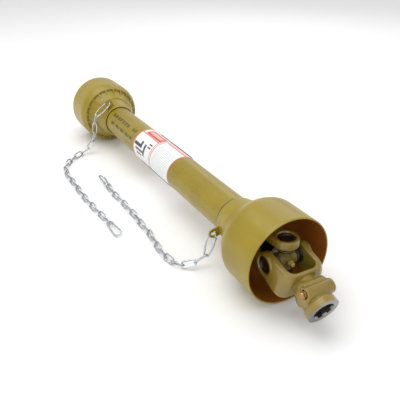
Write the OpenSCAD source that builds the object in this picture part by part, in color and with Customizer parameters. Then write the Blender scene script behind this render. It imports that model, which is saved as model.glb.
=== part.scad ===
// Drive shaft with a universal joint at each end, in its two-piece plastic guard.
// It lies on the ground, pushed together. X runs along the shaft, with the near end
// towards +X, and Z points up. The shaft line is level, and the two restraint chains
// lie on the -Y side.

/* [Shaft] */
// Distance between the two joint centres with the shaft pushed together
closed_len = 860; // [780:10:1100]
// Angle that each end yoke hangs below the shaft line
droop = 19; // [5:1:28]

/* [Guard cones] */
// Outside diameter of a guard cone at its mouth
cone_dia = 155; // [145:1:175]
// Wall of a guard cone
cone_wall = 2.5; // [2:0.1:3.5]
// How far the mouth stands past the joint centre
mouth_reach = 12; // [6:1:18]
// Length of the straight part behind the mouth
straight_len = 70; // [64:1:76]
// Length of the rounded part behind the straight part
round_len = 14; // [12:1:18]
// How much the radius shrinks along the rounded part
round_drop = 3.5; // [2.5:0.5:5]
// Length of the sloping ridge behind the rounded part
ridge_len = 8; // [6:0.5:10]
// How much the radius shrinks along the ridge
ridge_drop = 4; // [3:0.5:5]
// Length of the pocketed band
band_len = 16; // [14:1:20]
// Length of the plain rear face
rear_len = 10; // [8:0.5:14]
// How far the rear face's edge stands out round the collar
shoulder_lip = 1; // [0.5:0.5:3]
// Number of pockets round a cone
pocket_n = 20; // [12:1:24]
// Depth of a pocket at its outer end, which runs out to nothing at its inner end
pocket_depth = 5.5; // [3.5:0.5:6]
// Rib left between two pockets
pocket_rib = 3.2; // [2.4:0.1:5]

/* [Guard collars] */
// Length of a collar behind the cone
collar_len = 40; // [36:1:44]
// Outside diameter of a collar at its rear lip
lip_dia = 78; // [77:0.5:84]
// Outside diameter of a collar at the cone
collar_dia = 98; // [96:1:104]
// Depth of the collar's spigot inside the cone
spigot_len = 10; // [8:0.5:12]
// Diameter of the collar's spigot
spigot_dia = 88; // [87:0.5:91]
// Distance of a chain lug's hole from the collar's skin
lug_rise = 11.5; // [10.5:0.1:14]
// Distance of a chain lug from the collar's rear lip
lug_back = 11.5; // [8:0.5:16]
// Diameter of a chain lug's hole
lug_hole_dia = 10; // [9.6:0.2:11]
// Thickness of a chain lug
lug_thick = 3; // [2:0.2:4]
// Width of the wall round a chain lug's hole
lug_rim = 4; // [3:0.5:6]
// Angle of the near lug round the shaft line, seen from the near end
near_lug_angle = 192; // [185:1:200]
// Angle of the far lug round the shaft line, seen from the near end
far_lug_angle = 115; // [105:1:120]

/* [Guard tubes] */
// Outside diameter of the outer guard tube
outer_tube_dia = 73; // [72:0.5:74]
// Outside diameter of the inner guard tube
inner_tube_dia = 66.4; // [66:0.1:66.8]
// Wall of the outer guard tube
outer_tube_wall = 2.9; // [2.2:0.1:3]
// Wall of the inner guard tube
inner_tube_wall = 2.4; // [1.8:0.1:2.6]
// Gap between the outer guard tube's end and the far collar
seam_gap = 0.8; // [0.5:0.1:3]
// Gap between the inner guard tube's end and the near joint centre
inner_tube_stop = 170; // [150:5:250]

/* [Label and booklet] */
// Length of the label along the tube
label_len = 183; // [120:1:200]
// Distance from the near joint centre to the label's middle
label_at = 444; // [410:1:470]
// Thickness of the label
label_thick = 0.3; // [0.2:0.05:0.5]
// Angle round the tube where the label starts
label_from = 50; // [40:1:60]
// Angle round the tube that the label covers
label_sweep = 178; // [120:1:180]
// Length of the booklet along the tube
booklet_len = 148; // [100:1:180]
// Thickness of the booklet
booklet_thick = 2.2; // [1:0.1:3]
// Angle round the tube that the booklet covers
booklet_sweep = 176; // [100:1:178]
// Layer of glue under the label and the booklet
glue = 0.05; // [0.02:0.01:0.1]

/* [Profile tubes] */
// Radius of the outer profile tube
outer_profile_r = 24.8; // [24.5:0.1:25]
// Radius of the inner profile tube
inner_profile_r = 21; // [20:0.1:21.1]
// Wall of both profile tubes
profile_wall = 3.5; // [2.5:0.1:3.5]
// Height of the two key ribs on both profile tubes
key_h = 3; // [2:0.1:3.4]
// Width of the key ribs on the inner profile tube
key_w = 9; // [7:0.5:11]
// Clearance between the two profile tubes, on each side of their keys
key_gap = 0.3; // [0.2:0.05:0.5]
// Distance from a joint centre to the end of the other half's profile tube
profile_stop = 140; // [135:1:200]

/* [Yokes] */
// Radius of the rounded ears
ear_r = 21; // [19:0.5:22]
// Half of the gap between the two ears of a yoke
ear_in = 24; // [22:0.5:25]
// Half of the width over the two ears of a yoke
ear_out = 41; // [40:0.5:44]
// Distance from the joint centre to the inner face of a yoke's bridge
bridge_in = 42; // [41:0.5:45]
// Thickness of a yoke's bridge
bridge_thick = 13; // [10:0.5:15]
// Half of the height of a yoke's bridge
bridge_half = 24; // [22:0.5:26]
// Distance from the joint centre to the end face of an end yoke's hub
hub_end = 105; // [100:1:120]
// Radius of an end yoke's hub
hub_r = 23.5; // [23:0.5:25]
// Radius of the ring at the end of the hub
ring_r = 26.5; // [26:0.5:29]
// Length of the ring at the end of the hub
ring_len = 11; // [8:0.5:12]
// Radius of a tube yoke's hub
tube_hub_r = 32; // [31:0.1:32.2]
// Length of a tube yoke's hub behind the bearing groove
tube_hub_lip = 4; // [3:0.5:5]
// Depth of the bearing groove
groove_depth = 2.5; // [1.5:0.1:3]
// Distance from the joint centre to where the profile tube starts inside the hub
tube_seat = 72; // [66:1:76]
// Diameter of the roll pin through a tube yoke and its profile tube
roll_pin_dia = 10; // [8:0.5:12]
// Distance from the joint centre to the roll pin
roll_pin_at = 87; // [84:1:89]

/* [Joint crosses] */
// Diameter of the bearing cups
cup_dia = 27; // [25:0.5:28]
// Length over two opposite cups
cup_span = 74.6; // [73:0.2:76]
// Wall of a bearing cup
cup_wall = 5; // [3:0.1:5.5]
// Thickness of a cup's closed end
cup_floor = 2.8; // [2:0.1:3.5]
// Running clearance of a trunnion in its cup, on the radius
trunnion_gap = 0.05; // [0.02:0.01:0.09]
// Radius of the cross's middle arms
cross_arm_r = 12; // [11:0.5:13]
// Half of the length over the cross's shoulders
cross_shoulder = 19.5; // [19:0.1:20]
// Thickness of the snap rings outside the cups
snap_thick = 1.5; // [1:0.1:1.8]
// How deep a snap ring sits in its groove
snap_depth = 1; // [0.6:0.1:1.2]
// Length of the cross's grease nipple
nipple_len = 14; // [10:1:16]

/* [Splined bore and push pin] */
// Radius of the bore at the tops of its splines
bore_r = 14.9; // [14.5:0.05:15.2]
// Radius of the bore at the roots of its splines
root_r = 17.45; // [17.3:0.05:17.8]
// Width of the grooves between the splines
spline_w = 8.7; // [8:0.1:9.5]
// Distance from the joint centre to the push pin
pin_at = 79; // [76:0.5:86]
// Distance from the bore's centre line to the push pin
pin_rise = 21.1; // [21:0.1:22]
// Radius of the push pin
pin_r = 6; // [5.8:0.1:6.1]
// Running clearance of the push pin in its hole, on the radius
pin_gap = 0.05; // [0.02:0.01:0.09]
// Radius of the boss round the push pin
boss_r = 12.5; // [11.5:0.5:13]
// Length of the boss from the bore's centre line to the pin's head
boss_front = 25; // [22:0.5:27]
// Length of the boss from the bore's centre line to the spring's end
boss_back = 26; // [25:0.5:29]
// How far the head stands out of the boss
pin_head = 12; // [11.5:0.5:15]
// How far the push pin travels
pin_travel = 10; // [8:0.5:10.5]
// Thickness of the wall behind the spring
spring_wall = 3; // [2:0.5:4]
// Radius of the push pin's waist and stem
pin_waist_r = 3.9; // [3:0.1:4]
// Diameter of the spring's wire
spring_wire = 1.2; // [0.8:0.1:1.3]
// Number of the spring's turns
spring_turns = 5; // [4:1:6]

/* [Chains] */
// Length of a chain link
link_len = 30; // [28:0.5:34]
// Width of a chain link
link_w = 14; // [13.6:0.2:15]
// Wire of a chain link
link_wire = 3.2; // [2.8:0.1:3.4]
// Gap where two links meet
link_gap = 0.5; // [0.4:0.05:0.7]
// Wire of the hooks at the chains' ends
hook_wire = 3.6; // [3.2:0.1:4]
// How much thicker the hooks' straight stretch is than their bends
swell = 0.2; // [0.1:0.05:0.3]
// Gap between a hook and the link or eye that it holds
hook_gap = 1.3; // [1.2:0.1:1.5]
// Bend radius of the hooks, at the wire's middle
hook_r = 8; // [7.6:0.1:9]
// Length of the hooks that hold the chains to the collars
start_hook_len = 44; // [42:1:48]
// Length of the hooks at the chains' free ends
end_hook_len = 50; // [44:1:56]

/* [Hidden] */
$fn = 64;

// Facets on a rounded stretch of an outline
arc_steps = 8;
// Small amount that a cut runs past the face it starts from
past = 1;

joint_x = closed_len / 2;
cone_r = cone_dia / 2;
axis_z = cone_r;

// Places along a guard, measured back from the mouth
ridge_at = straight_len + round_len;
band_at = ridge_at + ridge_len;
rear_at = band_at + band_len;
cone_len = rear_at + rear_len;
guard_len = cone_len + collar_len;
// Radii there
ridge_r = cone_r - round_drop;
band_r = ridge_r - ridge_drop;
shoulder_r = collar_dia / 2 + shoulder_lip;
// The pockets' floors run on as the plain rear face
floor_r = band_r - pocket_depth;
face_drop = (floor_r - shoulder_r) / (band_len + rear_len);
rear_r = shoulder_r + face_drop * rear_len;
// Radius of the arc that the rounded part follows
round_arc_r = (pow(round_len, 2) + pow(round_drop, 2)) / (2 * round_drop);
// Thickness of the cone's rear flange, which the spigot passes through
flange_thick = 6;
face_wall = cone_wall + 1;

// Bearing ring, in the collar's spigot and the yoke's groove
bearing_len = 12;
bearing_at = cone_len - spigot_len;
bearing_seat_r = 40;
bearing_side_gap = 0.1;
bearing_gap = 0.08;
groove_r = tube_hub_r - groove_depth;
tube_stop_at = bearing_at + bearing_len + 6;
tube_stop_r = tube_hub_r + 0.6;
hub_back = tube_stop_at - mouth_reach - 6 + bearing_side_gap + tube_hub_lip;

outer_tube_r = outer_tube_dia / 2;
inner_tube_r = inner_tube_dia / 2;
lug_at = guard_len - lug_back;
lug_x = joint_x + mouth_reach - lug_at;
// The collar's skin narrows evenly from the cone to its rolled lip
lip_roll = 5;
lip_rise = 2;
lug_reach = lug_rise + collar_dia / 2
    - (collar_dia / 2 - lip_dia / 2 - lip_rise) * (lug_at - cone_len) / (collar_len - lip_roll);
label_x = joint_x - label_at;

// Keys of the outer profile tube: their hollow holds the inner tube's keys
outer_key_w = key_w + 2 * (profile_wall + key_gap);

cup_r = cup_dia / 2;
cup_in = cross_shoulder + 3.5;
trunnion_r = cup_r - cup_wall - trunnion_gap;
snap_gap = 0.1;

// Push pin: its front part, its waist and its stop are told by where they lie at rest
spring_spare = 2;
spring_room = pin_travel + spring_turns * spring_wire + spring_spare;
pin_hole_end = boss_back - spring_wall;
pin_lock_end = pin_hole_end - spring_room;
waist_to = -1.4;
waist_from = waist_to - 2 * sqrt(pow(root_r, 2) - pow(pin_rise - pin_r, 2)) - 1;

// Links stand on edge at a slant, one leaning each way, and the hooks between them
link_pitch = link_len - 2 * link_wire - link_gap;
link_lean = 45;
link_spread = (link_w - link_wire) / 2 * sin(link_lean) + link_wire / 2;
link_z = link_spread + 0.1;
start_lean = 35;
end_lean = asin((link_z - 0.1 - hook_wire / 2 - swell / 2) / hook_r);

// Routes of the chains from their lugs: offset from the lug along the shaft, offset from
// the shaft line across it, and height above the ground
near_lug = [lug_x, lug_reach * cos(near_lug_angle), axis_z + lug_reach * sin(near_lug_angle)];
far_lug = [-lug_x, lug_reach * cos(far_lug_angle), axis_z + lug_reach * sin(far_lug_angle)];
near_route = [[0, -65.5, 25], [-3, -84, 14.5], [-11, -102, 8.2], [-27, -114, link_z],
    [-49, -120, link_z], [-75, -121, link_z], [-112, -117, link_z], [-157, -112, link_z],
    [-190, -114, link_z], [-222, -111, link_z], [-255, -113, link_z],
    [-293, -112, link_z], [-334, -116, link_z], [-385, -113, link_z]];
far_route = [[0, -59, 99], [0, -65, 77], [0, -67, 54], [0, -73, 32], [1, -87, 15.5],
    [4, -106, 8.5], [13, -126, link_z], [27, -142, link_z], [44, -157, link_z],
    [65, -169, link_z], [88, -176, link_z], [120, -179, link_z], [165, -178, link_z],
    [210, -179, link_z], [260, -178, link_z], [305, -175, link_z], [345, -171, link_z],
    [390, -169, link_z]];

// Distance of the farthest chain link from the shaft line, so that the whole part is
// centred on the origin
chain_reach = max([for (p = far_route) -p[1]]) + link_spread;
axis_y = (chain_reach - cone_r) / 2;

function arc(c, r, from, to, n = arc_steps) =
    [for (i = [0:n]) let (a = from + (to - from) * i / n) c + r * [cos(a), sin(a)]];

// Points of a route in the part's own frame, starting at its lug
function laid(lug, route) =
    [for (p = concat([[0, lug[1], lug[2]]], route)) [lug[0] + p[0], axis_y + p[1], p[2]]];

// The next point on route r, from its stretch i on, that lies h from c
function next_on(r, i, c, h) =
    i >= len(r) - 1 ? undef
    : norm(r[i + 1] - c) < h ? next_on(r, i + 1, c, h)
    : let (v = r[i + 1] - r[i], w = r[i] - c, a = v * v, b = 2 * (v * w), d = w * w - h * h)
        [i, r[i] + v * (-b + sqrt(b * b - 4 * a * d)) / (2 * a)];

// Points along route r that lie h apart, from c on
function walk(r, i, c, h) =
    let (s = next_on(r, i, c, h)) s == undef ? [c] : concat([c], walk(r, s[0], s[1], h));

function link_nodes(route) =
    let (s = next_on(route, 0, route[0], start_hook_len)) walk(route, s[0], s[1], link_pitch);

near_path = laid(near_lug, near_route);
far_path = laid(far_lug, far_route);
near_nodes = link_nodes(near_path);
far_nodes = link_nodes(far_path);

// Puts a piece on the shaft line at the near or the far end, with +X outwards
module near_end() {
    translate([joint_x, axis_y, axis_z]) children();
}
module far_end() {
    translate([-joint_x, axis_y, axis_z]) rotate([0, 0, 180]) children();
}

// Turned piece on the X axis from points of place and radius
module turned(points) {
    rotate([0, 90, 0]) rotate_extrude($fn = 96) polygon([for (p = points) [p[1], p[0]]]);
}

// The same with places measured back from the mouth
module turned_back(points) {
    turned([for (p = points) [mouth_reach - p[0], p[1]]]);
}

module pipe(r, wall, from, to) {
    turned([[from, r - wall], [to, r - wall], [to, r], [from, r]]);
}

module guard_cone() {
    rounding = arc([straight_len, cone_r - round_arc_r], round_arc_r, 90,
        90 - asin(round_len / round_arc_r), 5);
    outside = concat([[0, cone_r]], rounding,
        [[band_at, band_r], [rear_at, rear_r], [cone_len, shoulder_r],
        [cone_len, spigot_dia / 2]]);
    flange_at = cone_len - flange_thick;
    inside = [[flange_at, spigot_dia / 2],
        [flange_at, shoulder_r + face_drop * flange_thick - face_wall],
        [band_at, floor_r - face_wall], [ridge_at - 2, ridge_r - cone_wall - 0.5],
        [straight_len, cone_r - cone_wall], [0, cone_r - cone_wall]];
    difference() {
        turned_back(concat(outside, inside));
        for (i = [0:pocket_n - 1]) {
            rotate([360 / pocket_n * (i + 0.5), 0, 0]) pocket();
        }
    }
}

// One wedge-shaped pocket: its floor is flat, and meets the band's skin at the inner end
module pocket() {
    wide = 2 * PI * band_r / pocket_n - pocket_rib;
    narrow = 2 * PI * rear_r / pocket_n - pocket_rib;
    end_wall = 1.5;
    translate([mouth_reach - band_at, 0, floor_r - 0.1]) rotate([0, -atan(face_drop), 0])
        linear_extrude(pocket_depth + 4) polygon([[-end_wall, -wide / 2],
            [-end_wall, wide / 2], [1 - band_len, narrow / 2], [1 - band_len, -narrow / 2]]);
}

module guard_collar(seat_r, lug_angle) {
    spigot_r = spigot_dia / 2;
    turned_back([[bearing_at, bearing_seat_r], [bearing_at, spigot_r],
        [cone_len, spigot_r], [cone_len, collar_dia / 2],
        [guard_len - lip_roll, lip_dia / 2 + lip_rise], [guard_len, lip_dia / 2],
        [guard_len, seat_r], [tube_stop_at, seat_r], [tube_stop_at, tube_stop_r],
        [bearing_at + bearing_len + bearing_side_gap, tube_stop_r],
        [bearing_at + bearing_len + bearing_side_gap, bearing_seat_r]]);
    rotate([lug_angle, 0, 0]) chain_lug();
}

// Flat eye on the collar, pointing along +Y, with its hole along the shaft
module chain_lug() {
    outer = lug_hole_dia / 2 + lug_rim;
    root = lip_dia / 2 + 1;
    translate([mouth_reach - lug_at - lug_thick / 2, 0, 0]) rotate([90, 0, 90])
        linear_extrude(lug_thick) difference() {
            union() {
                translate([lug_reach, 0]) circle(outer);
                translate([root, -outer]) square([lug_reach - root, 2 * outer]);
            }
            translate([lug_reach, 0]) circle(d = lug_hole_dia);
        }
}

// Ring that carries the guard on the tube yoke
module guard_bearing() {
    turned_back([[bearing_at, groove_r + bearing_gap],
        [bearing_at + bearing_len, groove_r + bearing_gap],
        [bearing_at + bearing_len, bearing_seat_r], [bearing_at, bearing_seat_r]]);
}

// Curved sheet round the guard tube, between two angles seen from the near end
module wrapped(r, thick, length, from, sweep) {
    translate([label_x, axis_y, axis_z]) rotate([90, 0, 90])
        rotate([0, 0, from]) translate([0, 0, -length / 2])
        rotate_extrude(angle = sweep, $fn = 96) translate([r + glue, 0]) square([thick, length]);
}

// Cross section of a profile tube's skin: round, with two keys
module profile(r, key_width) {
    circle(r);
    square([2 * (r + key_h), key_width], center = true);
}

// Profile tube between two places, with a hole for the roll pin at a third
module profile_tube(r, key_width, from, to, pin) {
    difference() {
        translate([from, 0, 0]) rotate([90, 0, 90]) linear_extrude(to - from) difference() {
            profile(r, key_width);
            profile(r - profile_wall, key_width - 2 * profile_wall);
        }
        translate([pin, 0, 0]) rotate([90, 0, 0])
            cylinder(d = roll_pin_dia, h = 2 * (r + key_h + past), center = true);
    }
}

// Forked part of a yoke: ears along Y, bridge towards +X
module fork() {
    inner_round = 12;
    outer_round = 16;
    bridge_out = bridge_in + bridge_thick;
    plan = concat([[-ear_r - past, ear_out]],
        arc([bridge_out - outer_round, ear_out - outer_round], outer_round, 90, 20),
        arc([bridge_out - outer_round, outer_round - ear_out], outer_round, -20, -90),
        [[-ear_r - past, -ear_out], [-ear_r - past, -ear_in]],
        arc([bridge_in - inner_round, inner_round - ear_in], inner_round, -90, 0),
        arc([bridge_in - inner_round, ear_in - inner_round], inner_round, 0, 90),
        [[-ear_r - past, ear_in]]);
    side = concat(arc([0, 0], ear_r, 90, 270, 2 * arc_steps),
        [[bridge_in - 8, -bridge_half], [bridge_out + past, -bridge_half],
        [bridge_out + past, bridge_half], [bridge_in - 8, bridge_half]]);
    intersection() {
        translate([0, 0, -bridge_half - past]) linear_extrude(2 * (bridge_half + past))
            polygon(plan);
        rotate([90, 0, 0]) translate([0, 0, -ear_out - past])
            linear_extrude(2 * (ear_out + past)) polygon(side);
    }
}

// Holes for the two cups and the grooves for their snap rings, along Y
module cup_bores() {
    rotate([90, 0, 0]) cylinder(r = cup_r, h = 2 * ear_out + 2 * past, center = true);
    for (s = [-1, 1]) {
        translate([0, s * (cup_span / 2 + snap_gap + snap_thick / 2), 0]) rotate([90, 0, 0])
            cylinder(r = cup_r + snap_depth, h = snap_thick, center = true);
    }
}

module end_yoke() {
    bridge_out = bridge_in + bridge_thick;
    hub_from = bridge_out - 6;
    difference() {
        union() {
            fork();
            turned([[hub_from, 0], [hub_from, bridge_half + 3], [bridge_out + 8, hub_r],
                [hub_end - ring_len - 4, hub_r], [hub_end - ring_len, ring_r],
                [hub_end, ring_r], [hub_end, 0]]);
            translate([pin_at, 0, pin_rise]) rotate([-90, 0, 0])
                translate([0, 0, -boss_front]) cylinder(r = boss_r, h = boss_front + boss_back);
        }
        cup_bores();
        translate([bridge_in - past, 0, 0]) rotate([90, 0, 90])
            linear_extrude(hub_end - bridge_in + 2 * past) spline_outline();
        translate([pin_at, 0, pin_rise]) rotate([-90, 0, 0]) {
            translate([0, 0, -boss_front - past])
                cylinder(r = pin_r + pin_gap, h = boss_front + past + pin_hole_end);
            cylinder(r = pin_waist_r + pin_gap, h = boss_back + past);
        }
    }
}

module spline_outline() {
    circle(bore_r);
    intersection() {
        circle(root_r);
        for (i = [0:5]) {
            rotate(60 * i + 30) translate([0, -spline_w / 2]) square([2 * root_r, spline_w]);
        }
    }
}

// Tube yoke: ears along Z, hub towards -X
module tube_yoke(r, key_width) {
    bridge_out = bridge_in + bridge_thick;
    groove_from = bearing_at - bearing_side_gap - mouth_reach;
    groove_to = groove_from + bearing_len + 2 * bearing_side_gap;
    difference() {
        union() {
            rotate([90, 0, 180]) fork();
            turned([[-bridge_in - 4, 0], [-bridge_in - 4, tube_hub_r],
                [-groove_from, tube_hub_r], [-groove_from, groove_r],
                [-groove_to, groove_r], [-groove_to, tube_hub_r],
                [-hub_back, tube_hub_r], [-hub_back, 0]]);
        }
        rotate([90, 0, 0]) cup_bores();
        translate([-hub_back - past, 0, 0]) rotate([90, 0, 90])
            linear_extrude(hub_back + past - tube_seat) profile(r + 0.05, key_width + 0.1);
        translate([-tube_seat - past, 0, 0]) rotate([0, 90, 0])
            cylinder(r = 16, h = tube_seat - bridge_in + 3);
        translate([-roll_pin_at, 0, 0]) rotate([90, 0, 0])
            cylinder(d = roll_pin_dia, h = 2 * tube_hub_r + 2 * past, center = true);
    }
}

module roll_pin() {
    translate([-roll_pin_at, 0, 0]) rotate([90, 0, 0]) difference() {
        cylinder(d = roll_pin_dia, h = 2 * tube_hub_r - 1, center = true);
        cylinder(d = roll_pin_dia - 4, h = 2 * tube_hub_r + past, center = true);
    }
}

// Two bearing cups, along Y, open towards the joint centre
module cups() {
    bore = trunnion_r + trunnion_gap;
    for (s = [0, 180]) {
        rotate([0, 0, s + 90]) turned([[cup_in, bore], [cup_span / 2 - cup_floor, bore],
            [cup_span / 2 - cup_floor, 0], [cup_span / 2, 0], [cup_span / 2, cup_r],
            [cup_in, cup_r]]);
    }
}

// Two open snap rings outside the cups, along Y
module snap_rings() {
    for (s = [0, 180]) {
        rotate([0, 0, s + 90]) translate([cup_span / 2 + snap_gap, 0, 0]) rotate([0, 90, 0])
            linear_extrude(snap_thick) difference() {
                circle(cup_r + snap_depth);
                circle(cup_r - 2.5);
                translate([0, -4]) square([cup_r + 2 * snap_depth + past, 8]);
            }
    }
}

// Cross with its four trunnions along Y and Z
module joint_cross() {
    trunnion_end = cup_span / 2 - cup_floor - 0.3;
    nipple_seat = cross_arm_r + 3;
    for (a = [0, 90]) {
        rotate([a, 0, 0]) rotate([90, 0, 0]) {
            cylinder(r = cross_arm_r, h = 2 * cross_shoulder, center = true);
            cylinder(r = trunnion_r, h = 2 * trunnion_end, center = true);
        }
    }
    rotate([0, 90, 0]) cylinder(r = 6, h = nipple_seat);
}

// Rubber seals between the cross's shoulders and the cups
module cross_seals() {
    for (a = [0:3]) {
        rotate([90 * a, 0, 0]) rotate([90, 0, 0]) translate([0, 0, cross_shoulder])
            difference() {
                cylinder(r = cup_r - 1, h = cup_in - cross_shoulder - 0.3);
                translate([0, 0, -past]) cylinder(r = trunnion_r, h = cup_in);
            }
    }
}

module grease_nipple() {
    seat = cross_arm_r + 3;
    turned([[seat, 0], [seat, 5], [seat + 4.5, 5], [seat + 5, 3],
        [seat + nipple_len - 5.5, 3], [seat + nipple_len - 4, 3.8],
        [seat + nipple_len - 2, 3.8], [seat + nipple_len, 1.8],
        [seat + nipple_len, 0]]);
}

// Push pin along Y, its head on the -Y side
module push_pin() {
    head_from = -boss_front - pin_head;
    translate([pin_at, 0, pin_rise]) rotate([0, 0, 90])
        turned([[head_from, 0], [head_from, pin_r - 1.5], [head_from + 1.5, pin_r],
            [waist_from, pin_r], [waist_from + 2, pin_waist_r], [waist_to - 1, pin_waist_r],
            [waist_to, pin_r], [pin_lock_end, pin_r], [pin_lock_end, pin_waist_r - 0.5],
            [boss_back - 0.5, pin_waist_r - 0.5], [boss_back - 0.5, 0]]);
}

// Coil spring round the push pin's stem
module pin_spring() {
    from = pin_lock_end + 0.2;
    to = pin_hole_end - 0.2;
    coil_r = (pin_r + pin_waist_r) / 2;
    rings = 16 * spring_turns;
    sides = 6;
    rise = (to - from - spring_wire) / rings;
    points = [for (i = [0:rings]) for (k = [0:sides - 1])
        let (a = 360 / 16 * i, b = 360 / sides * k, r = coil_r + spring_wire / 2 * cos(b))
        [r * cos(a), r * sin(a), from + spring_wire / 2 + rise * i + spring_wire / 2 * sin(b)]];
    skin = [for (i = [0:rings - 1]) for (k = [0:sides - 1])
        let (m = (k + 1) % sides)
        [i * sides + k, (i + 1) * sides + k, (i + 1) * sides + m, i * sides + m]];
    first = [for (k = [0:sides - 1]) k];
    last = [for (k = [sides - 1:-1:0]) rings * sides + k];
    translate([pin_at, 0, pin_rise]) rotate([-90, 0, 0])
        polyhedron(points, concat([first], skin, [last]));
}

// Puts a piece that lies along X between two points, turned about its own length
module spanning(from, to, lean) {
    v = to - from;
    translate(from) rotate([0, -asin(v[2] / norm(v)), atan2(v[1], v[0])])
        rotate([lean, 0, 0]) children();
}

// Part of a ring of wire in the XY plane
module bent_wire(r, wire, from, sweep) {
    rotate([0, 0, from]) rotate_extrude(angle = sweep, $fn = 32)
        translate([r, 0]) circle(d = wire, $fn = 16);
}

// One closed link along X from node to node
module chain_link() {
    bend_r = (link_w - link_wire) / 2;
    half = link_len / 2 - link_wire / 2 - bend_r;
    translate([link_pitch / 2, 0, 0]) {
        for (s = [0, 180]) {
            rotate([0, 0, s]) {
                translate([half, 0, 0]) bent_wire(bend_r, link_wire, -90, 180);
                translate([-half, bend_r, 0]) rotate([0, 90, 0])
                    cylinder(d = link_wire, h = 2 * half, $fn = 16);
            }
        }
    }
}

module chain(nodes) {
    for (i = [0:len(nodes) - 2]) {
        spanning(nodes[i], nodes[i + 1], i % 2 == 0 ? link_lean : -link_lean) chain_link();
    }
}

// S-shaped hook along X, from the node at its first bend to the one at its second
module s_hook(span) {
    out = hook_wire / 2 + hook_gap / 2;
    a = [hook_r - out, 0];
    b = [span + out - hook_r, 0];
    apart = b[0] - a[0];
    tilt = asin(2 * hook_r / apart);
    bar = sqrt(pow(apart, 2) - 4 * pow(hook_r, 2));
    open = 50;
    middle = (a[0] + b[0]) / 2;
    for (s = [0, 180]) {
        translate([middle, 0, 0]) rotate([0, 0, s]) translate([a[0] - middle, 0, 0]) {
            bent_wire(hook_r, hook_wire, open, 270 + tilt - open);
        }
    }
    translate([middle, 0, 0]) rotate([0, 0, tilt]) rotate([0, 90, 0])
        cylinder(d = hook_wire + swell, h = bar + 2 * swell, center = true, $fn = 16);
}

module start_hook(path) {
    s = next_on(path, 0, path[0], start_hook_len);
    spanning(path[0], s[1], -start_lean) s_hook(start_hook_len);
}

// Free hook from the last link towards the route's end, leaning against that link
module end_hook(path, nodes) {
    last = nodes[len(nodes) - 1];
    goal = path[len(path) - 1];
    ahead = [goal[0] - last[0], goal[1] - last[1], 0];
    lean = len(nodes) % 2 == 0 ? -end_lean : end_lean;
    spanning(last, last + ahead / norm(ahead) * end_hook_len, lean) s_hook(end_hook_len);
}

module outer_guard_tube() {
    color([0.71, 0.63, 0.25]) translate([0, axis_y, axis_z])
        pipe(outer_tube_r, outer_tube_wall, seam_gap - joint_x - mouth_reach + guard_len,
            joint_x + mouth_reach - tube_stop_at);
}

module inner_guard_tube() {
    color([0.66, 0.58, 0.24]) translate([0, axis_y, axis_z])
        pipe(inner_tube_r, inner_tube_wall, tube_stop_at - joint_x - mouth_reach,
            joint_x - inner_tube_stop);
}

module near_guard_cone() {
    color([0.72, 0.63, 0.24]) near_end() guard_cone();
}

module far_guard_cone() {
    color([0.72, 0.63, 0.24]) far_end() guard_cone();
}

module near_guard_collar() {
    color([0.68, 0.60, 0.23]) near_end() guard_collar(outer_tube_r, near_lug_angle);
}

module far_guard_collar() {
    color([0.68, 0.60, 0.23]) far_end() guard_collar(inner_tube_r, 180 - far_lug_angle);
}

module near_guard_bearing() {
    color([0.92, 0.90, 0.84]) near_end() guard_bearing();
}

module far_guard_bearing() {
    color([0.92, 0.90, 0.84]) far_end() guard_bearing();
}

module guard_label() {
    color([0.93, 0.92, 0.92]) wrapped(outer_tube_r, label_thick, label_len, label_from,
        label_sweep);
}

module instruction_booklet() {
    gap_angle = 2;
    color([0.85, 0.85, 0.86]) wrapped(outer_tube_r, booklet_thick, booklet_len,
        label_from + label_sweep + gap_angle, min(booklet_sweep, 360 - label_sweep - 2 * gap_angle));
}

module outer_profile_tube() {
    color([0.55, 0.55, 0.56]) translate([0, axis_y, axis_z])
        profile_tube(outer_profile_r, outer_key_w, profile_stop - joint_x, joint_x - tube_seat,
            joint_x - roll_pin_at);
}

module inner_profile_tube() {
    color([0.60, 0.60, 0.61]) translate([0, axis_y, axis_z])
        profile_tube(inner_profile_r, key_w, tube_seat - joint_x, joint_x - profile_stop,
            roll_pin_at - joint_x);
}

module near_tube_yoke() {
    color([0.73, 0.64, 0.42]) near_end() tube_yoke(outer_profile_r, outer_key_w);
}

module far_tube_yoke() {
    color([0.73, 0.64, 0.42]) far_end() tube_yoke(inner_profile_r, key_w);
}

module near_roll_pin() {
    color("dimgray") near_end() roll_pin();
}

module far_roll_pin() {
    color("dimgray") far_end() roll_pin();
}

module near_tube_yoke_cups() {
    color("silver") near_end() rotate([90, 0, 0]) cups();
}

module far_tube_yoke_cups() {
    color("silver") far_end() rotate([90, 0, 0]) cups();
}

module near_tube_yoke_snap_rings() {
    color("gray") near_end() rotate([90, 0, 0]) snap_rings();
}

module far_tube_yoke_snap_rings() {
    color("gray") far_end() rotate([90, 0, 0]) snap_rings();
}

module near_cross() {
    color([0.45, 0.40, 0.28]) near_end() joint_cross();
}

module far_cross() {
    color([0.45, 0.40, 0.28]) far_end() joint_cross();
}

module near_cross_seals() {
    color([0.08, 0.08, 0.08]) near_end() cross_seals();
}

module far_cross_seals() {
    color([0.08, 0.08, 0.08]) far_end() cross_seals();
}

module near_grease_nipple() {
    color([0.75, 0.66, 0.35]) near_end() grease_nipple();
}

module far_grease_nipple() {
    color([0.75, 0.66, 0.35]) far_end() grease_nipple();
}

module near_end_yoke() {
    color([0.73, 0.64, 0.42]) near_end() rotate([0, droop, 0]) end_yoke();
}

module far_end_yoke() {
    color([0.73, 0.64, 0.42]) far_end() rotate([0, droop, 0]) end_yoke();
}

module near_end_yoke_cups() {
    color("silver") near_end() cups();
}

module far_end_yoke_cups() {
    color("silver") far_end() cups();
}

module near_end_yoke_snap_rings() {
    color("gray") near_end() rotate([0, droop, 0]) snap_rings();
}

module far_end_yoke_snap_rings() {
    color("gray") far_end() rotate([0, droop, 0]) snap_rings();
}

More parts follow.
